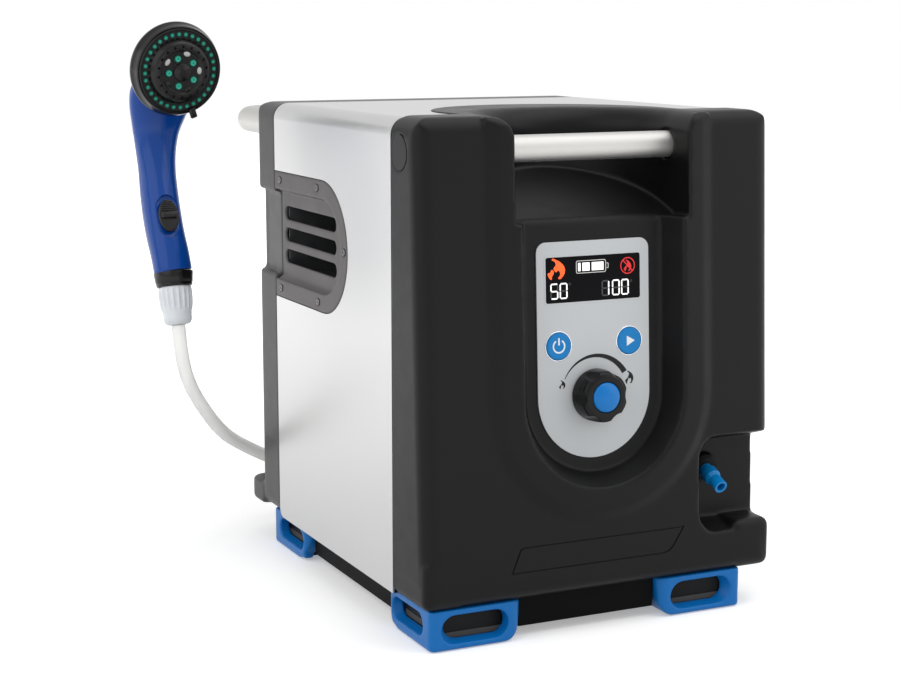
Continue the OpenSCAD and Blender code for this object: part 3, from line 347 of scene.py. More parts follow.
moulded("strip_grey", (0.060, 0.058, 0.055), 0.5, grain=0.2, **DULL)


def dress_frame():
    """Every CAD node takes the finish of its own slot."""
    for subpart in frame["record"]["subparts"]:
        node = frame["nodes"][subpart["node"]]
        material = MATERIALS[subpart["material_slot"]]
        node.data.materials.clear()
        node.data.materials.append(material)


dress_frame()

# ---------------------------------------------------------------- places on the object

# Each place has its +Z out of the front face, out of the spray face, up the handle, or out of the
# thumb switch
LEAN = math.radians(2.86)
FRONT = (Matrix.Translation((0, -0.170, 0.031)) @ Matrix.Rotation(-LEAN, 4, "X")
         @ Matrix.Rotation(math.pi / 2, 4, "X"))
SPRAY = (Matrix.Translation((-0.236, 0.118, 0.415)) @ Matrix.Rotation(math.radians(5.2), 4, "Z")
         @ Matrix.Rotation(math.radians(98.6), 4, "X"))
NUT = Matrix.Translation((-0.241, 0.1225, 0.207)) @ Matrix.Rotation(math.radians(-14.5), 4, "X")
SWITCH = Matrix.Translation((-0.244, 0.1345, 0.296)) @ Matrix.Rotation(math.radians(68), 4, "X")
MM = 0.001
PANEL_FACE = -14.4
KNOB_H = 147.5


def in_metres(matrix, x=0, y=0, z=0):
    """Matrix for a drawing in millimetres with its origin at a point of a place."""
    return matrix @ Matrix.Translation((x * MM, y * MM, z * MM)) @ Matrix.Scale(MM, 4)


def in_mm(profile):
    """Profile given in millimetres, in metres."""
    return [(r * MM, h * MM) for r, h in profile]


# ---------------------------------------------------------------- modelling helpers

NO_LIMIT = 10 ** 7
# Edges that turn by more than this are bevelled
SHARP_DEGREES = 30


def new_object(name, data):
    piece = bpy.data.objects.new(name, data)
    bpy.context.collection.objects.link(piece)
    return piece


def add_modifier(piece, kind, **values):
    modifier = piece.modifiers.new(kind.title(), kind)
    for key, value in values.items():
        setattr(modifier, key, value)
    return modifier


def join(pieces):
    select_only(*pieces)
    bpy.ops.object.join()
    return bpy.context.object


def merged(piece, distance=1e-6):
    select_only(piece)
    bpy.ops.object.mode_set(mode="EDIT")
    bpy.ops.mesh.select_all(action="SELECT")
    bpy.ops.mesh.remove_doubles(threshold=distance)
    bpy.ops.object.mode_set(mode="OBJECT")


def facing_out(piece):
    select_only(piece)
    bpy.ops.object.mode_set(mode="EDIT")
    bpy.ops.mesh.select_all(action="SELECT")
    bpy.ops.mesh.normals_make_consistent(inside=False)
    bpy.ops.object.mode_set(mode="OBJECT")


def bevel_edges(piece, width, segments=3):
    add_modifier(piece, "BEVEL", width=width, segments=segments, limit_method="ANGLE",
                 angle_limit=math.radians(SHARP_DEGREES), use_clamp_overlap=True)
    apply_modifiers(piece)


def thin_out(piece, triangles):
    count = sum(len(p.vertices) - 2 for p in piece.data.polygons)
    if count > triangles:
        add_modifier(piece, "DECIMATE", ratio=triangles / count)
        apply_modifiers(piece)


def melt(piece, voxel, passes, triangles):
    """Fuses a piece into one skin and rounds its edges, as a moulding's are."""
    coarser = 1
    add_modifier(piece, "REMESH", mode="VOXEL", voxel_size=voxel * coarser)
    add_modifier(piece, "SMOOTH", factor=0.5, iterations=passes)
    apply_modifiers(piece)
    thin_out(piece, triangles)
    smooth(piece, 60)


def cut(piece, tool):
    """Takes a tool's shape off a piece and uses the tool up."""
    add_modifier(piece, "BOOLEAN", operation="DIFFERENCE", object=tool, solver="MANIFOLD")
    apply_modifiers(piece)
    bpy.data.objects.remove(tool)


def block(centre, size, rounding=0.0, segments=3):
    """A box whose edges are rounded where a width is given."""
    bpy.ops.mesh.primitive_cube_add(size=1, location=centre)
    piece = bpy.context.object
    piece.scale = size
    seat(piece)
    if rounding:
        bevel_edges(piece, rounding, segments)
    return piece


def copy_of(node):
    """A copy of a CAD node's mesh that can be worked on."""
    piece = new_object(node + "_soft", frame["nodes"][node].data.copy())
    merged(piece)
    return piece


def softened(node, voxel, passes, triangles):
    """A copy of a CAD node with its edges rounded."""
    piece = copy_of(node)
    melt(piece, voxel, passes, triangles)
    return piece


def turned(profile, steps=64):
    """A shape turned about Z; its profile of radius and height ends on the axis or is closed."""
    mesh = bpy.data.meshes.new("profile")
    edges = [(i, i + 1) for i in range(len(profile) - 1)]
    mesh.from_pydata([(r, 0, h) for r, h in profile], edges, [])
    piece = new_object("turned", mesh)
    select_only(piece)
    bpy.ops.object.mode_set(mode="EDIT")
    bpy.ops.mesh.select_all(action="SELECT")
    bpy.ops.mesh.spin(steps=steps, angle=2 * math.pi, center=(0, 0, 0), axis=(0, 0, 1))
    bpy.ops.object.mode_set(mode="OBJECT")
    merged(piece, 1e-4)
    facing_out(piece)
    return piece


def copies(piece, matrices):
    """Copies of one modelled shape, each with its own mesh, joined; the first shape is used up."""
    made = []
    for matrix in matrices:
        data = piece.data.copy()
        data.transform(matrix)
        made.append(new_object("copy", data))
    bpy.data.objects.remove(piece)
    return join(made)


def around(count, radius, start=0.0, z=0.0):
    """Places on a circle, the first one start degrees from +X."""
    out = Matrix.Translation((radius, 0, z))
    return [Matrix.Rotation(math.radians(start + 360 * k / count), 4, "Z") @ out
            for k in range(count)]


# ---------------------------------------------------------------- outlines for printed marks

def circle(x, y, r, count=40):
    return [(x + r * math.cos(2 * math.pi * k / count), y + r * math.sin(2 * math.pi * k / count))
            for k in range(count)]


def box(x0, y0, x1, y1):
    return [(x0, y0), (x1, y0), (x1, y1), (x0, y1)]


def round_box(x0, y0, x1, y1, r, count=6):
    points = []
    for cx, cy, start in ((x1 - r, y0 + r, -90), (x1 - r, y1 - r, 0), (x0 + r, y1 - r, 90),
                          (x0 + r, y0 + r, 180)):
        for k in range(count + 1):
            a = math.radians(start + 90 * k / count)
            points.append((cx + r * math.cos(a), cy + r * math.sin(a)))
    return points


def band(x, y, start, end, inner, outer, count=40):
    """Arc from one angle to another whose inner and outer radius run between two values each."""
    turn = [k / count for k in range(count + 1)]
    angle = [math.radians(start + (end - start) * t) for t in turn]
    far_side = [outer[0] + (outer[1] - outer[0]) * t for t in turn]
    near_side = [inner[0] + (inner[1] - inner[0]) * t for t in turn]
    out = [(x + r * math.cos(a), y + r * math.sin(a)) for r, a in zip(far_side, angle)]
    back = [(x + r * math.cos(a), y + r * math.sin(a)) for r, a in zip(near_side, angle)]
    return out + back[::-1]


FLAME_PARTS = [
    [(0.24, 1.0), (0.52, 0.95), (0.80, 0.78), (0.97, 0.55), (0.98, 0.32), (0.86, 0.13),
     (0.66, 0.0), (0.60, 0.05), (0.70, 0.18), (0.70, 0.34), (0.58, 0.44), (0.50, 0.36),
     (0.38, 0.44), (0.34, 0.56), (0.46, 0.70), (0.42, 0.86)],
    [(0.0, 0.30), (0.14, 0.36), (0.22, 0.48), (0.34, 0.40), (0.32, 0.26), (0.24, 0.14), (0.20, 0.0),
     (0.08, 0.08), (0.02, 0.18)],
]


def flame(x, y, width, height):
    return [[(x + (u - 0.5) * width, y + (v - 0.5) * height) for u, v in part]
            for part in FLAME_PARTS]


SEGMENTS = {"0": "abcdef", "1": "bc", "5": "acdfg"}


def segment(x0, y0, x1, y1, t):
    """One six-cornered segment between two ends."""
    length = math.hypot(x1 - x0, y1 - y0)
    ux, uy = (x1 - x0) / length, (y1 - y0) / length
    px, py = -uy * t / 2, ux * t / 2
    a, b = 0.16 * t, t * 0.62
    return [(x0 + ux * a, y0 + uy * a), (x0 + ux * b + px, y0 + uy * b + py),
            (x1 - ux * b + px, y1 - uy * b + py), (x1 - ux * a, y1 - uy * a),
            (x1 - ux * b - px, y1 - uy * b - py), (x0 + ux * b - px, y0 + uy * b - py)]


def digit(x, y, w, h, t, sign):
    """Lit and unlit segments of one digit with its lower left corner at x, y."""
    ends = {"a": (x, y + h, x + w, y + h), "b": (x + w, y + h / 2, x + w, y + h),
            "c": (x + w, y, x + w, y + h / 2), "d": (x, y, x + w, y), "e": (x, y, x, y + h / 2),
            "f": (x, y + h / 2, x, y + h), "g": (x, y + h / 2, x + w, y + h / 2)}
    lit = [segment(*ends[k], t) for k in SEGMENTS[sign]]
    unlit = [segment(*ends[k], t) for k in ends if k not in SEGMENTS[sign]]
    return lit, unlit


def flat_shape(outlines, matrix, thickness, rounded=False):
    """Flat outlines in millimetres, filled and given a thickness."""
    curve = bpy.data.curves.new("outline", "CURVE")
    curve.dimensions = "2D"
    curve.fill_mode = "BOTH"
    curve.extrude = thickness / 2
    for outline in outlines:
        if rounded:
            spline = curve.splines.new("BEZIER")
            spline.bezier_points.add(len(outline) - 1)
            for point, place in zip(spline.bezier_points, outline):
                point.co = (*place, 0)
                point.handle_left_type = point.handle_right_type = "AUTO"
            spline.resolution_u = 4
        else:
            spline = curve.splines.new("POLY")
            spline.points.add(len(outline) - 1)
            for point, place in zip(spline.points, outline):
                point.co = (*place, 0, 1)
        spline.use_cyclic_u = True
    piece = to_mesh(new_object("outline", curve))
    piece.data.transform(matrix @ Matrix.Translation((0, 0, thickness / 2)))
    merged(piece, 1e-7)
    return piece


def print_mark(name, outlines, matrix, thickness, finish, slot, body="case", rounded=False):
    return hand_over(flat_shape(outlines, matrix, thickness, rounded), name, body, slot, finish)


# ---------------------------------------------------------------- moulded covers and feet

# Block that fills each lower corner of the front cover; X is mirrored for the left one
CORNER_PLACE = (0.1323, -0.1332, 0.0503)
CORNER_SIZE = (0.0349, 0.0702, 0.0386)
CORNER_ROUNDING = 0.0065
# The plaque's groove, between two outlines in millimetres
PLAQUE_OUTER = [(-80, 21.5), (51, 21.5), (56, 22.7), (60, 26), (70, 41), (-69, 41),
                (-71.4, 40.2), (-72.9, 38.2)]
PLAQUE_INNER = [(-78.7, 22.5), (50.8, 22.5), (55.4, 23.6), (59.1, 26.6), (68.1, 40), (-68.8, 40),
                (-70.7, 39.4), (-72, 37.8)]
PLAQUE_FLOOR = -0.9


def lower_corner(side):
    """Fills a lower corner of the front cover out to a tighter curve."""
    x, y, z = CORNER_PLACE
    return block((side * x, y, z), CORNER_SIZE, CORNER_ROUNDING, segments=5)


def front_cover():
    """The cover with fuller lower corners and a groove round the bare plaque."""
    piece = join([copy_of("front_cover"), lower_corner(-1), lower_corner(1)])
    melt(piece, 0.00125, 14, 180000)
    cut(piece, flat_shape([PLAQUE_OUTER, PLAQUE_INNER], in_metres(FRONT, z=PLAQUE_FLOOR), 5))
    smooth(piece, 60)
    return hand_over(piece, "front_shell", "case", "black_moulding", replaces=("front_cover",))


def rear_cover():
    piece = softened("rear_cover", 0.0014, 16, 90000)
    return hand_over(piece, "rear_shell", "case", "grey_moulding", replaces=("rear_cover",))


def grille():
    piece = softened("exhaust_grille", 0.0007, 12, 70000)
    return hand_over(piece, "grille_panel", "case", "grille_grey",
                     replaces=("exhaust_grille",))


# Which way each foot runs in from its outer corner, along X and along Y
FOOT_WAYS = {"front_left": (1, 1), "front_right": (-1, 1),
             "rear_left": (1, -1), "rear_right": (-1, -1)}
# Outline of each slot in millimetres: near end, bottom, far end, top
FRONT_SLOT = (9, 4.5, 64, 26.5)
SIDE_SLOT = (15, 7.5, 71, 25.5)
FUNNEL_DEPTH = 9.2
# How far the near end, bottom, far end and top of each slot draw in towards its funnel's back
FRONT_DRAW = (6.5, 3.6, 1.5, 1.0)
SIDE_DRAW = (0.5, 3.6, 4.0, 1.0)
STRIP_BACK = 10.4
# Blocks inside a foot that its slots are cut into, lie round or show at their foot, as low and
# high corners in millimetres
FOOT_WALLS = ((6.5, 1, 2, 66.5, FUNNEL_DEPTH, 29), (1, 12.5, 2, FUNNEL_DEPTH, 73.5, 28.5))
FOOT_STRIPS = ((13.5, FUNNEL_DEPTH + 0.1, 6.5, 62, STRIP_BACK, 11),
               (FUNNEL_DEPTH + 0.1, 14.5, 9.5, STRIP_BACK, 66, 14.5))
FOOT_CORE = (10.0, 10.0, 3.5, 63, 67, 28.5)


def funnel(slot, draw):
    """A tool that narrows from a slot's outline on the face to a smaller one inside the foot."""
    x0, z0, x1, z1 = slot
    left, bottom, right, top = draw
    near = round_box(x0, z0, x1, z1, (z1 - z0) / 2 - 0.01, 12)
    height = z1 - z0 - bottom - top
    far = round_box(x0 + left, z0 + bottom, x1 - right, z1 - top, height / 2 - 0.01, 12)
    depths = ((-2.0, near), (0.6, near), (FUNNEL_DEPTH + 2, far))
    rings = [[(x, y, z) for x, z in outline] for y, outline in depths]
    count = len(near)
    faces = []
    for ring in range(2):
        this, following = ring * count, (ring + 1) * count
        faces += [(this + k, this + (k + 1) % count, following + (k + 1) % count, following + k)
                  for k in range(count)]
    faces += [tuple(range(count)), tuple(range(2 * count, 3 * count))]
    mesh = bpy.data.meshes.new("funnel")
    mesh.from_pydata([point for ring in rings for point in ring], [], faces)
    return new_object("funnel", mesh)


# Swaps X and Y
SIDEWAYS = Matrix(((0, 1, 0, 0), (1, 0, 0, 0), (0, 0, 1, 0), (0, 0, 0, 1)))


def foot_block(x0, y0, z0, x1, y1, z1):
    return block(((x0 + x1) / 2, (y0 + y1) / 2, (z0 + z1) / 2), (x1 - x0, y1 - y0, z1 - z0), 0.6)


def feet():
    """Rubber feet with deep scooped slots, each round a dark core with a pale strip at its foot."""
    for corner, (side, end) in FOOT_WAYS.items():
        node = "foot_" + corner
        low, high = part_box(node)
        y = (low[1] if end > 0 else high[1]) / MM
        x = (low[0] if side > 0 else high[0]) / MM
        place = in_metres(Matrix(), x, y, 0) @ Matrix.Diagonal((side, end, 1, 1))
        base = copy_of(node)
        walls = join([foot_block(*corners) for corners in FOOT_WALLS])
        side_tool = funnel(SIDE_SLOT, SIDE_DRAW)
        side_tool.data.transform(SIDEWAYS)
        for piece in (walls, side_tool):
            piece.data.transform(place)
        front_tool = funnel(FRONT_SLOT, FRONT_DRAW)
        front_tool.data.transform(place)
        piece = join([base, walls])
        melt(piece, 0.0009, 4, NO_LIMIT)
        for tool in (front_tool, side_tool):
            facing_out(tool)
            cut(piece, tool)
        melt(piece, 0.0008, 12, 30000)
        hand_over(piece, "rubber_" + node, "case", "blue_rubber", replaces=(node,))
        strip = join([foot_block(*corners) for corners in FOOT_STRIPS])
        strip.data.transform(place)
        facing_out(strip)
        hand_over(strip, node + "_strip", "case", "black_rubber", "strip_grey")
        core = foot_block(*FOOT_CORE)
        core.data.transform(place)
        facing_out(core)
        smooth(core, 35)
        hand_over(core, node + "_core", "case", "black_rubber")


# Where the screws sit, as Y and Z
SCREW_SPOTS = [(0.122, 0.3237), (0.037, 0.3241), (-0.019, 0.2785), (0.122, 0.2327), (0.037, 0.2322)]
SCREW_X = -0.1504
SCREW_R = 0.0028
SCREW_SHANK_R = 0.00149


def grille_screws():
    """Pan-head screws with a cross recess, sunk in the grille."""
    bpy.ops.mesh.primitive_cylinder_add(vertices=32, radius=SCREW_R, depth=0.0016,
                                        location=(0, 0, -0.0008))
    head = bpy.context.object
    bevel_edges(head, 0.0007)
    for turn in (0, 90):
        bpy.ops.mesh.primitive_cube_add(size=1, location=(0, 0, 0))
        blade = bpy.context.object
        blade.scale = (0.0030, 0.0007, 0.0014)
        blade.rotation_euler = (0, 0, math.radians(turn + 20))
        seat(blade)
        cut(head, blade)
    bpy.ops.mesh.primitive_cylinder_add(vertices=24, radius=SCREW_SHANK_R, depth=0.0036,
                                        location=(0, 0, -0.0032))
    screw = join([head, bpy.context.object])
    spots = [Matrix.Translation((SCREW_X, y, z)) @ Matrix.Rotation(-math.pi / 2, 4, "Y")
             @ Matrix.Rotation(k * 0.7, 4, "Z") for k, (y, z) in enumerate(SCREW_SPOTS)]
    piece = copies(screw, spots)
    smooth(piece, 35)
    hand_over(piece, "panel_screws", "case", "screw_steel", replaces=("grille_screws",))


# ---------------------------------------------------------------- control panel

BUTTON_X = 30.4
BUTTON_H = 186.2
SIGN_BASE = -13.62
SIGN_T = 0.28


def push_button(name, side, body, node):
    """A domed button with a soft rim and the flange that keeps it in."""
    x = side * BUTTON_X
    profile = [(0, -20.1), (12.2, -20.1), (12.2, -18.9), (10.2, -18.9), (10.2, -14.1), (9.9, -13.5),
               (9.2, -13.2), (8.4, -13.25), (5.0, -13.5), (0, -13.6)]
    piece = turned(in_mm(profile), 72)
    piece.data.transform(FRONT @ Matrix.Translation((x * MM, BUTTON_H * MM, 0)))
    smooth(piece, 40)
    hand_over(piece, name, body, "blue_button", replaces=(node,))
    profile = [(10.52, -14.4), (11.35, -14.4), (11.3, -14.1), (11.0, -13.85), (10.7, -13.95),
               (10.52, -14.4)]
    ring = turned(in_mm(profile), 72)
    ring.data.transform(FRONT @ Matrix.Translation((x * MM, BUTTON_H * MM, 0)))
    smooth(ring, 60)
    hand_over(ring, name + "_ring", "case", "panel_silver", "bright_ring")


def button_marks():
    left = in_metres(FRONT, -BUTTON_X, BUTTON_H, SIGN_BASE)
    marks = [band(0, 0, 122, 418, (4.15, 4.15), (5.35, 5.35), 44),
             round_box(-0.65, 0.7, 0.65, 6.4, 0.6)]
    print_mark("power_mark", marks, left, SIGN_T, "print_white", "blue_button", "power_key")
    right = in_metres(FRONT, BUTTON_X, BUTTON_H, SIGN_BASE)
    print_mark("start_mark", [[(-2.4, -3.9), (4.5, 0), (-2.4, 3.9)]], right, SIGN_T,
               "print_white", "blue_button", "start_key")


LCD_H = 235.6
LIT_T = 0.12
PRINT_T = 0.08
DIGIT_FOOT = 221.9
# Width, height and stroke
DIGIT_SIZE = (5.6, 10.9, 1.05)
# Each digit with its left edge along the display
DIGITS = (("5", -36.0), ("0", -28.2), ("1", 7.6), ("0", 16.6), ("0", 24.5))
DEGREE_SIGNS = ((-20.2, 232.2), (32.6, 231.6))


def display():
    glass = in_metres(FRONT, 0, 0, PANEL_FACE)
    print_mark("display_frame", [round_box(-41.7, LCD_H - 18.3, 41.7, LCD_H + 18.3, 2.6),
                                 round_box(-40.4, LCD_H - 17.1, 40.4, LCD_H + 17.1, 1.7)],
               glass, 0.16, "panel_silver", "panel_silver")
    print_mark("lit_flame", flame(-31.2, 243.8, 14.6, 15.0), glass, LIT_T, "lit_orange",
               "display_glass", rounded=True)
    no_fire = [circle(29.8, 243.3, 6.35), circle(29.8, 243.3, 5.55)]
    print_mark("lit_ring", no_fire, glass, LIT_T, "lit_red", "display_glass")
    print_mark("lit_small_flame", flame(29.8, 243.2, 6.4, 8.6), glass, LIT_T, "lit_red",
               "display_glass", rounded=True)
    print_mark("lit_slash", [[(25.6, 246.9), (26.2, 247.5), (34.0, 239.7), (33.4, 239.1)]],
               glass @ Matrix.Translation((0, 0, 0.03)), LIT_T, "lit_red", "display_glass")
    battery = [round_box(-14.6, 239.6, 11.0, 249.2, 1.5), round_box(-14.1, 240.1, 10.5, 248.7, 1.1),
               round_box(11.3, 242.3, 13.2, 246.5, 0.8), round_box(11.3, 242.8, 12.7, 246.0, 0.5)]
    print_mark("lit_battery", battery, glass, LIT_T, "lit_grey", "display_glass")
    cells = [box(x0, 241.3, x1, 247.5) for x0, x1 in ((-12.9, -10.7), (-9.2, -3.0), (-1.2, 8.9))]
    print_mark("lit_cells", cells, glass, LIT_T, "lit_white", "display_glass")
    lit, unlit = [], []
    for sign, x in DIGITS:
        on, off = digit(x, DIGIT_FOOT, *DIGIT_SIZE, sign)
        lit += on
        unlit += off
    print_mark("lit_digits", lit, glass, LIT_T, "lit_white", "display_glass")
    degrees = [circle(x, y, r, 20) for x, y in DEGREE_SIGNS for r in (0.95, 0.55)]
    print_mark("dim_segments", unlit + degrees, glass, LIT_T, "lit_dim", "display_glass")


def dial_marks():
    face = in_metres(FRONT, 0, KNOB_H, PANEL_FACE)
    print_mark("heat_wedge", [band(0, 0, 152, 30, (28.4, 27.9), (28.9, 32.5), 60)], face, PRINT_T,
               "print_dark", "panel_silver")
    print_mark("low_flame", flame(-27.6, 9.6, 5.3, 6.4), face, PRINT_T, "print_dark",
               "panel_silver", rounded=True)
    print_mark("high_flame", flame(30.4, 10.6, 7.2, 9.8), face, PRINT_T, "print_dark",
               "panel_silver", rounded=True)


KNOB_R = 20.0
STEM_R = 4.05
CAP_R = 11.2
FLUTES = 6


def knob():
    """Round knob whose front edge is scooped by six flutes that run out towards the panel."""
    base = PANEL_FACE
    profile = [(0, 13.6), (STEM_R, 13.6), (STEM_R, 0.6), (19.3, 0.6), (KNOB_R, 1.2), (KNOB_R, 4),
               (19.8, 10), (19.4, 14.8), (18.8, 16.6), (17.4, 17.8), (15.4, 18.4), (11.7, 18.5),
               (11.5, 17.2), (0, 17.2)]
    piece = turned(in_mm([(r, base + h) for r, h in profile]), 96)
    bpy.ops.mesh.primitive_cylinder_add(vertices=64, radius=9.5 * MM, depth=60 * MM)
    lean = Matrix.Rotation(math.radians(-14), 4, "Y")
    places = around(FLUTES, 29.9 * MM, 0, (base + 3) * MM)
    cut(piece, copies(bpy.context.object, [place @ lean for place in places]))
    melt(piece, 0.0004, 5, 50000)
    piece.data.transform(FRONT @ Matrix.Translation((0, KNOB_H * MM, 0)))
    hand_over(piece, "fluted_knob", "knob", "knob_black", replaces=("gas_knob",))
    profile = [(0, 2.75), (CAP_R, 2.75), (CAP_R, 4.1), (CAP_R - 0.35, 4.75), (CAP_R - 1.3, 5.35),
               (8.2, 6.3), (5.0, 6.95), (2.4, 7.15), (0, 7.2)]
    cap = turned(in_mm(profile), 72)
    cap.data.transform(FRONT @ Matrix.Translation((0, KNOB_H * MM, 0)))
    smooth(cap, 50)
    hand_over(cap, "domed_cap", "knob", "blue_cap", replaces=("knob_cap",))


# ---------------------------------------------------------------- hand shower

# Centre line of the grip with half width and half depth, from the ring up to the head, all in
# millimetres
GRIP = [(-241.6, 131.5, 250, 16, 15), (-242.6, 136, 264, 16, 15.5), (-244, 143, 280, 16, 16.5),
        (-244.6, 150, 297, 16, 17), (-244.5, 157, 315, 15.8, 16.5), (-243.8, 163, 332, 15.7, 15.5),
        (-243.2, 167, 349, 17.2, 14.8), (-242.3, 168, 366, 20.2, 14.5),
        (-240.8, 165.5, 381, 24.5, 14.5), (-239.2, 160, 395, 27, 14), (-237.6, 151, 407, 26, 12)]
GRIP_SIDES = 40
GRIP_STEPS = 4


def between(a, b, c, d, t):
    """Catmull-Rom value between b and c."""
    return 0.5 * (2 * b + (c - a) * t + (2 * a - 5 * b + 4 * c - d) * t * t
                  + (3 * b - a - 3 * c + d) * t ** 3)


def grip_sections():
    rows = [GRIP[0]] + GRIP + [GRIP[-1]]
    sections = []
    for i in range(len(GRIP) - 1):
        for k in range(GRIP_STEPS):
            sections.append([between(*four, k / GRIP_STEPS) for four in zip(*rows[i:i + 4])])
    sections.append(list(GRIP[-1]))
    return sections


def ring_matrix(sections, i):
    """Lays the unit circle on one section of the grip."""
    ahead, behind = sections[min(i + 1, len(sections) - 1)], sections[max(i - 1, 0)]
    way = Vector([ahead[n] - behind[n] for n in range(3)]).normalized()
    side = (Vector((1, 0, 0)) - way * way.x).normalized()
    depth = way.cross(side)
    x, y, z, a, b = sections[i]
    turn = Matrix((side, depth, way)).transposed().to_4x4()
    return (Matrix.Translation((x * MM, y * MM, z * MM)) @ turn
            @ Matrix.Diagonal((a * MM, b * MM, MM, 1)))


def lofted_grip():
    sections = grip_sections()
    bpy.ops.mesh.primitive_circle_add(vertices=GRIP_SIDES, radius=1, fill_type="NGON")
    piece = bpy.context.object
    place = ring_matrix(sections, 0)
    piece.data.transform(place)
    select_only(piece)
    bpy.ops.object.mode_set(mode="EDIT")
    bpy.ops.mesh.select_all(action="SELECT")
    for i in range(1, len(sections)):
        target = ring_matrix(sections, i)
        bpy.ops.mesh.extrude_region_move()
        mesh = bmesh.from_edit_mesh(piece.data)
        bmesh.ops.transform(mesh, matrix=target @ place.inverted(),
                            verts=[v for v in mesh.verts if v.select])
        bmesh.update_edit_mesh(piece.data)
        place = target
    bpy.ops.object.mode_set(mode="OBJECT")
    facing_out(piece)
    return piece


HEAD_R = 38.5


def head_profile(grow):
    """Back of the head, from its middle out to its widest rim."""
    return [(0, -26 - grow), (20, -26 - grow), (26, -24.4 - grow), (30, -21.2 - grow),
            (33.4 + grow, -17.4), (36.6 + grow, -14), (38.2 + grow, -11.6), (HEAD_R + grow, -9.8)]


def switch_pocket():
    """The oval pocket that the thumb switch slides in."""
    bpy.ops.mesh.primitive_cylinder_add(vertices=72, radius=1, depth=1)
    tool = bpy.context.object
    tool.scale = (0.0114, 0.0182, 0.0150)
    seat(tool)
    bevel_edges(tool, 0.0008)
    tool.data.transform(SWITCH @ Matrix.Translation((0, 0, 0.0073)))
    return tool


def handset_handle():
    cup = turned(in_mm([(0, -31), (18, -31), (25.5, -28.4), (30.4, -24.6), (33.6, -20.4),
                        (35.6, -17.4), (35.4, -16.2), (31, -15.6), (0, -15.6)]), 72)
    cup.data.transform(SPRAY)
    piece = join([lofted_grip(), cup])
    melt(piece, 0.0008, 14, NO_LIMIT)
    cut(piece, switch_pocket())
    back = turned(in_mm(head_profile(0.15) + [(HEAD_R + 0.15, 4), (0, 4)]), 72)
    back.data.transform(SPRAY)
    cut(piece, back)
    thin_out(piece, 90000)
    smooth(piece, 40)
    hand_over(piece, "shower_handle", "case", "blue_gloss", replaces=("handset_handle",))


def handset_head():
    """Glossy shell that narrows from its widest rim to the thin edge round the spray plate."""
    front = [(38.3, -8.8), (37.6, -7.6), (36.7, -5.2), (36.1, -2.4), (35.8, -0.8), (35.3, -0.2),
             (34.9, -0.4), (34.75, -1.2), (34.75, -5.0), (0, -5.0)]
    shell = turned(in_mm(head_profile(0) + front), 96)
    shell.data.transform(SPRAY)
    smooth(shell, 30)
    hand_over(shell, "shower_head", "case", "head_black", replaces=("handset_head",))


def spray_plate():
    """Face plate: a flat ring for the outer jets, and a raised boss with a ring of holes."""
    profile = [(0, -4.7), (34.5, -4.7), (34.5, -0.5), (34.1, 0.0), (33.2, 0.1), (32.6, -0.6),
               (26.6, -0.6), (25.6, 0.6), (24.2, 4.2), (23.2, 5.4), (22.0, 5.8), (18.8, 6.2),
               (17.9, 6.0), (17.2, 5.2), (16.2, 4.9), (7.6, 5.2), (7.1, 6.2), (6.4, 6.6), (0, 6.9)]
    plate = turned(in_mm(profile), 96)
    bpy.ops.mesh.primitive_cylinder_add(vertices=14, radius=1.3 * MM, depth=4 * MM)
    holes = copies(bpy.context.object, around(18, 20.6 * MM, 10, 6.4 * MM))
    cut(plate, holes)
    tab = block((0.0365, 0, 0.0006), (0.0085, 0.0054, 0.0030), 0.0009)
    tab.data.transform(Matrix.Rotation(math.radians(-70), 4, "Z"))
    bpy.ops.mesh.primitive_cylinder_add(vertices=24, radius=4.96 * MM, depth=8.0 * MM,
                                        location=(0, 0, -8.5 * MM))
    plate = join([plate, tab, bpy.context.object])
    plate.data.transform(SPRAY)
    smooth(plate, 32)
    hand_over(plate, "spray_plate", "selector", "head_black", replaces=("spray_face",))


def nozzle(radius, bore, height, steps):
    """A jet with a blind bore."""
    profile = [(0, -0.9), (radius, -0.9), (radius, height - 0.3), (radius - 0.25, height),
               (bore + 0.1, height), (bore, height - 0.1), (bore, height - 0.9), (0, height - 0.9)]
    return turned(in_mm(profile), steps)


def petal(turn):
    """A glossy lobe between two middle jets."""
    bpy.ops.mesh.primitive_uv_sphere_add(segments=20, ring_count=12, radius=1)
    lobe = bpy.context.object
    lobe.scale = (2.0 * MM, 3.0 * MM, 1.1 * MM)
    seat(lobe, Matrix.Rotation(math.radians(turn), 4, "Z")
         @ Matrix.Translation((15.0 * MM, 0, 5.1 * MM)))
    return lobe


OUTER_JETS = 32
MIDDLE_JETS = 5
# Which way each lobe between the middle jets lies, and its finish: all are the head's glossy black,
# and the three upper ones carry a painted highlight in light grey while the lower two keep the
# black
LOBES = (("jet_lobes_painted_highlight", (3.6, 75.6, 147.6), "painted_highlight_grey"), ("jet_lobes", (219.6, 291.6), "head_black"))


def spray_nozzles():
    """Green rubber jets round the edge and in the middle, each with a paler mouth."""
    outer = around(OUTER_JETS, 29.6 * MM, 3, -0.5 * MM)
    middle = around(MIDDLE_JETS, 11.6 * MM, 39.6, 5.0 * MM)
    piece = join([copies(nozzle(2.1, 1.3, 0.8, 16), outer),
                  copies(nozzle(3.1, 1.9, 0.9, 24), middle)])
    piece.data.transform(SPRAY)
    smooth(piece, 50)
    hand_over(piece, "rubber_nozzles", "selector", "green_rubber",
              replaces=("spray_nozzles",))
    tips = join([copies(nozzle(1.3, 0.55, 1.2, 12), outer),
                 copies(nozzle(2.3, 0.85, 1.8, 20), middle)])
    tips.data.transform(SPRAY)
    smooth(tips, 50)
    hand_over(tips, "nozzle_tips", "selector", "green_rubber", "pale_green")
    # The upper lobes get the painted highlight grey, the lower ones the plain black
    for name, turns, finish in LOBES:
        pads = join([petal(turn) for turn in turns])
        pads.data.transform(SPRAY)
        smooth(pads, 60)
        hand_over(pads, name, "selector", "head_black", finish)


SLIDER_HALF = 13.6
RIBS = 5
RIB_PITCH = 1.8


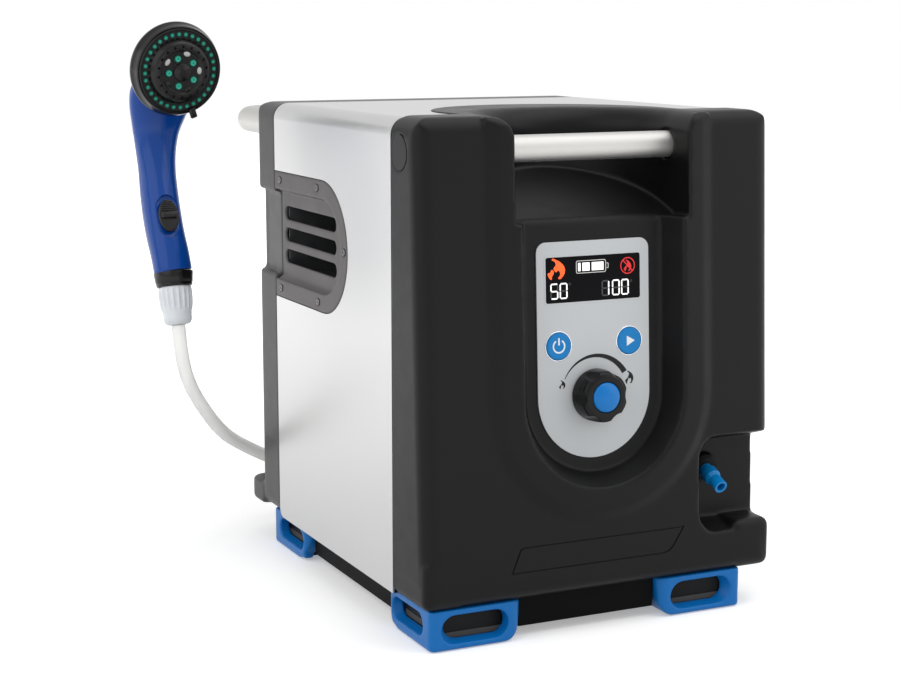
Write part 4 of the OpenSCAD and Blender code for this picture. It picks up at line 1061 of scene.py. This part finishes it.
def thumb_switch():
    """Oval slider with fine ribs above and one deep thumb ridge."""
    bpy.ops.mesh.primitive_cylinder_add(vertices=64, radius=1, depth=1)
    plate = bpy.context.object
    plate.scale = (0.0085, SLIDER_HALF * MM, 0.0040)
    seat(plate, Matrix.Translation((0, 0, 0.0026)))
    bevel_edges(plate, 0.0012, segments=4)
    parts = [plate]
    for k in range(RIBS):
        along = 4.2 + RIB_PITCH * k
        width = 0.0052 * math.sqrt(1 - (along / SLIDER_HALF) ** 2)
        bpy.ops.mesh.primitive_cylinder_add(vertices=16, radius=0.0006, depth=2.6 * width,
                                            location=(0, along * MM, 0.0046),
                                            rotation=(0, math.pi / 2, 0))
        rib = bpy.context.object
        seat(rib)
        bevel_edges(rib, 0.0002, segments=2)
        parts.append(rib)
    parts.append(block((0, 0, 0.0052), (0.0136, 0.0052, 0.0052), 0.0014, segments=4))
    piece = join(parts)
    piece.data.transform(SWITCH)
    smooth(piece, 35)
    hand_over(piece, "thumb_slider", "thumb_key", "head_black", "switch_black",
              replaces=("flow_switch",))


def handle_ring():
    """Black ring between the grip and the swivel nut."""
    piece = turned(in_mm([(0, 32), (14.2, 32), (14.8, 32.4), (15.1, 33.6), (15.0, 34.6),
                          (15.4, 35.2), (16.0, 40), (16.5, 43.2), (16.3, 44), (0, 44)]), 64)
    piece.data.transform(NUT)
    smooth(piece, 30)
    hand_over(piece, "grip_ring", "case", "black_moulding", "head_black",
              replaces=("handset_ring",))


NUT_RIBS = 18


def hose_nut():
    """Swivel nut with soft grip ribs on its upper two thirds."""
    core = turned(in_mm([(0, 0), (7.6, 0), (9.8, 0.8), (11.2, 2.6), (11.9, 5), (12.1, 10),
                         (12.4, 12.5), (12.9, 20), (13.5, 31), (13.0, 32), (0, 32)]), 72)
    bpy.ops.mesh.primitive_uv_sphere_add(segments=12, ring_count=10, radius=1)
    rib = bpy.context.object
    rib.scale = (0.0011, 0.0011, 0.0100)
    seat(rib)
    rib.data.transform(Matrix.Rotation(math.radians(3.2), 4, "Y")
                       @ Matrix.Translation((0, 0, 0.0215)))
    ribs = copies(rib, around(NUT_RIBS, 11.7 * MM, 5))
    piece = join([core, ribs])
    melt(piece, 0.00045, 6, 40000)
    piece.data.transform(NUT)
    hand_over(piece, "swivel_nut", "case", "clear_plastic", replaces=("hose_nut",))
    return piece


front_cover()
rear_cover()
grille()
feet()
grille_screws()
push_button("power_dome", -1, "power_key", "power_button")
push_button("start_dome", 1, "start_key", "start_button")
button_marks()
display()
dial_marks()
knob()
handset_handle()
handset_head()
spray_plate()
spray_nozzles()
thumb_switch()
handle_ring()
swivel_nut = hose_nut()

# ---------------------------------------------------------------- hose

HOSE_SIDES = 20


def hose():
    """One tube along the whole route."""
    curve = bpy.data.curves.new("hose", "CURVE")
    curve.dimensions = "3D"
    curve.bevel_depth = HOSE_D / 2
    curve.bevel_resolution = HOSE_SIDES // 4
    curve.use_fill_caps = True
    spline = curve.splines.new("NURBS")
    spline.points.add(len(HOSE_ROUTE) - 1)
    for point, place in zip(spline.points, HOSE_ROUTE):
        point.co = (*place, 1)
    spline.use_endpoint_u = True
    spline.order_u = 3
    spline.resolution_u = 4
    return new_object("hose", curve)


hose_piece = hand_over(hose(), "hose", "case", "clear_hose",
                       replaces=("hose_run", "hose_coil", "hose_tail"))

# ---------------------------------------------------------------- floor and light

FLOOR_HALF = 6.0
FLOOR_DROP = 0.0005
FLOOR_WHITE = 0.88
# The floor's own glow grows from the object outwards: from and to, at these distances
GLOW = (0.34, 1.0)
GLOW_REACH = (0.45, 1.5)
WORLD_LIGHT = 0.64
# Name, place, aim, width, height, power
SOFT_BOXES = (
    ("key_left", (-1.8, -0.7, 1.3), (0, 0, 0.2), 2.0, 2.0, 13),
    ("back_left", (-2.2, 1.5, 0.7), (0, 0.1, 0.2), 2.0, 1.8, 11),
    ("top", (0.5, -0.45, 1.8), (0, 0, 0.2), 1.6, 1.6, 12),
    ("fill_right", (1.7, -1.4, 1.0), (0, 0, 0.2), 1.8, 1.6, 9),
)
SEEN_RAYS = ("Is Camera Ray", "Is Glossy Ray", "Is Transmission Ray")


def seen(tree, low, high):
    """A strength: low for light that falls on the object, high where it is seen or mirrored."""
    path = tree.nodes.new("ShaderNodeLightPath")
    total = path.outputs[SEEN_RAYS[0]]
    for name in SEEN_RAYS[1:]:
        adding = tree.nodes.new("ShaderNodeMath")
        adding.operation = "MAXIMUM"
        tree.links.new(total, adding.inputs[0])
        tree.links.new(path.outputs[name], adding.inputs[1])
        total = adding.outputs["Value"]
    strength = tree.nodes.new("ShaderNodeMapRange")
    tree.links.new(total, strength.inputs["Value"])
    strength.inputs["To Min"].default_value = low
    strength.inputs["To Max"].default_value = high
    return strength.outputs["Result"]


def white_stage():
    """White floor that keeps the object's shadow and runs out into plain white."""
    bpy.ops.mesh.primitive_plane_add(size=2 * FLOOR_HALF, location=(0, 0, -FLOOR_DROP))
    floor = bpy.context.object
    floor.name = "floor"
    finish = Finish("white_floor", (FLOOR_WHITE,) * 3, 0.6)
    finish.shader.inputs["Specular IOR Level"].default_value = 0.0
    distance = finish.node("ShaderNodeVectorMath", operation="LENGTH")
    finish.link(finish.coords, distance.inputs[0])
    lift = finish.spread(distance.outputs["Value"], *GLOW, *GLOW_REACH)
    glow = finish.node("ShaderNodeMath", operation="MULTIPLY")
    finish.link(seen(finish.tree, 0, 1), glow.inputs[0])
    finish.link(lift, glow.inputs[1])
    finish.shader.inputs["Emission Color"].default_value = (1, 1, 1, 1)
    finish.link(glow.outputs["Value"], finish.shader.inputs["Emission Strength"])
    floor.data.materials.append(finish.material)


def soft_box(name, place, aim, width, height, power):
    bpy.ops.object.light_add(type="AREA", location=place)
    lamp = bpy.context.object
    lamp.name = name
    lamp.data.shape = "RECTANGLE"
    lamp.data.size = width
    lamp.data.size_y = height
    lamp.data.energy = power
    direction = Vector(aim) - Vector(place)
    lamp.rotation_euler = direction.to_track_quat("-Z", "Y").to_euler()


def studio():
    """Plain white surroundings and four soft boxes."""
    world = bpy.data.worlds.new("studio")
    bpy.context.scene.world = world
    world.use_nodes = True
    background = world.node_tree.nodes["Background"]
    background.inputs["Color"].default_value = (1, 1, 1, 1)
    strength = seen(world.node_tree, WORLD_LIGHT, 1.0)
    world.node_tree.links.new(strength, background.inputs["Strength"])
    for values in SOFT_BOXES:
        soft_box(*values)


white_stage()
studio()
bpy.context.scene.view_settings.view_transform = "Standard"
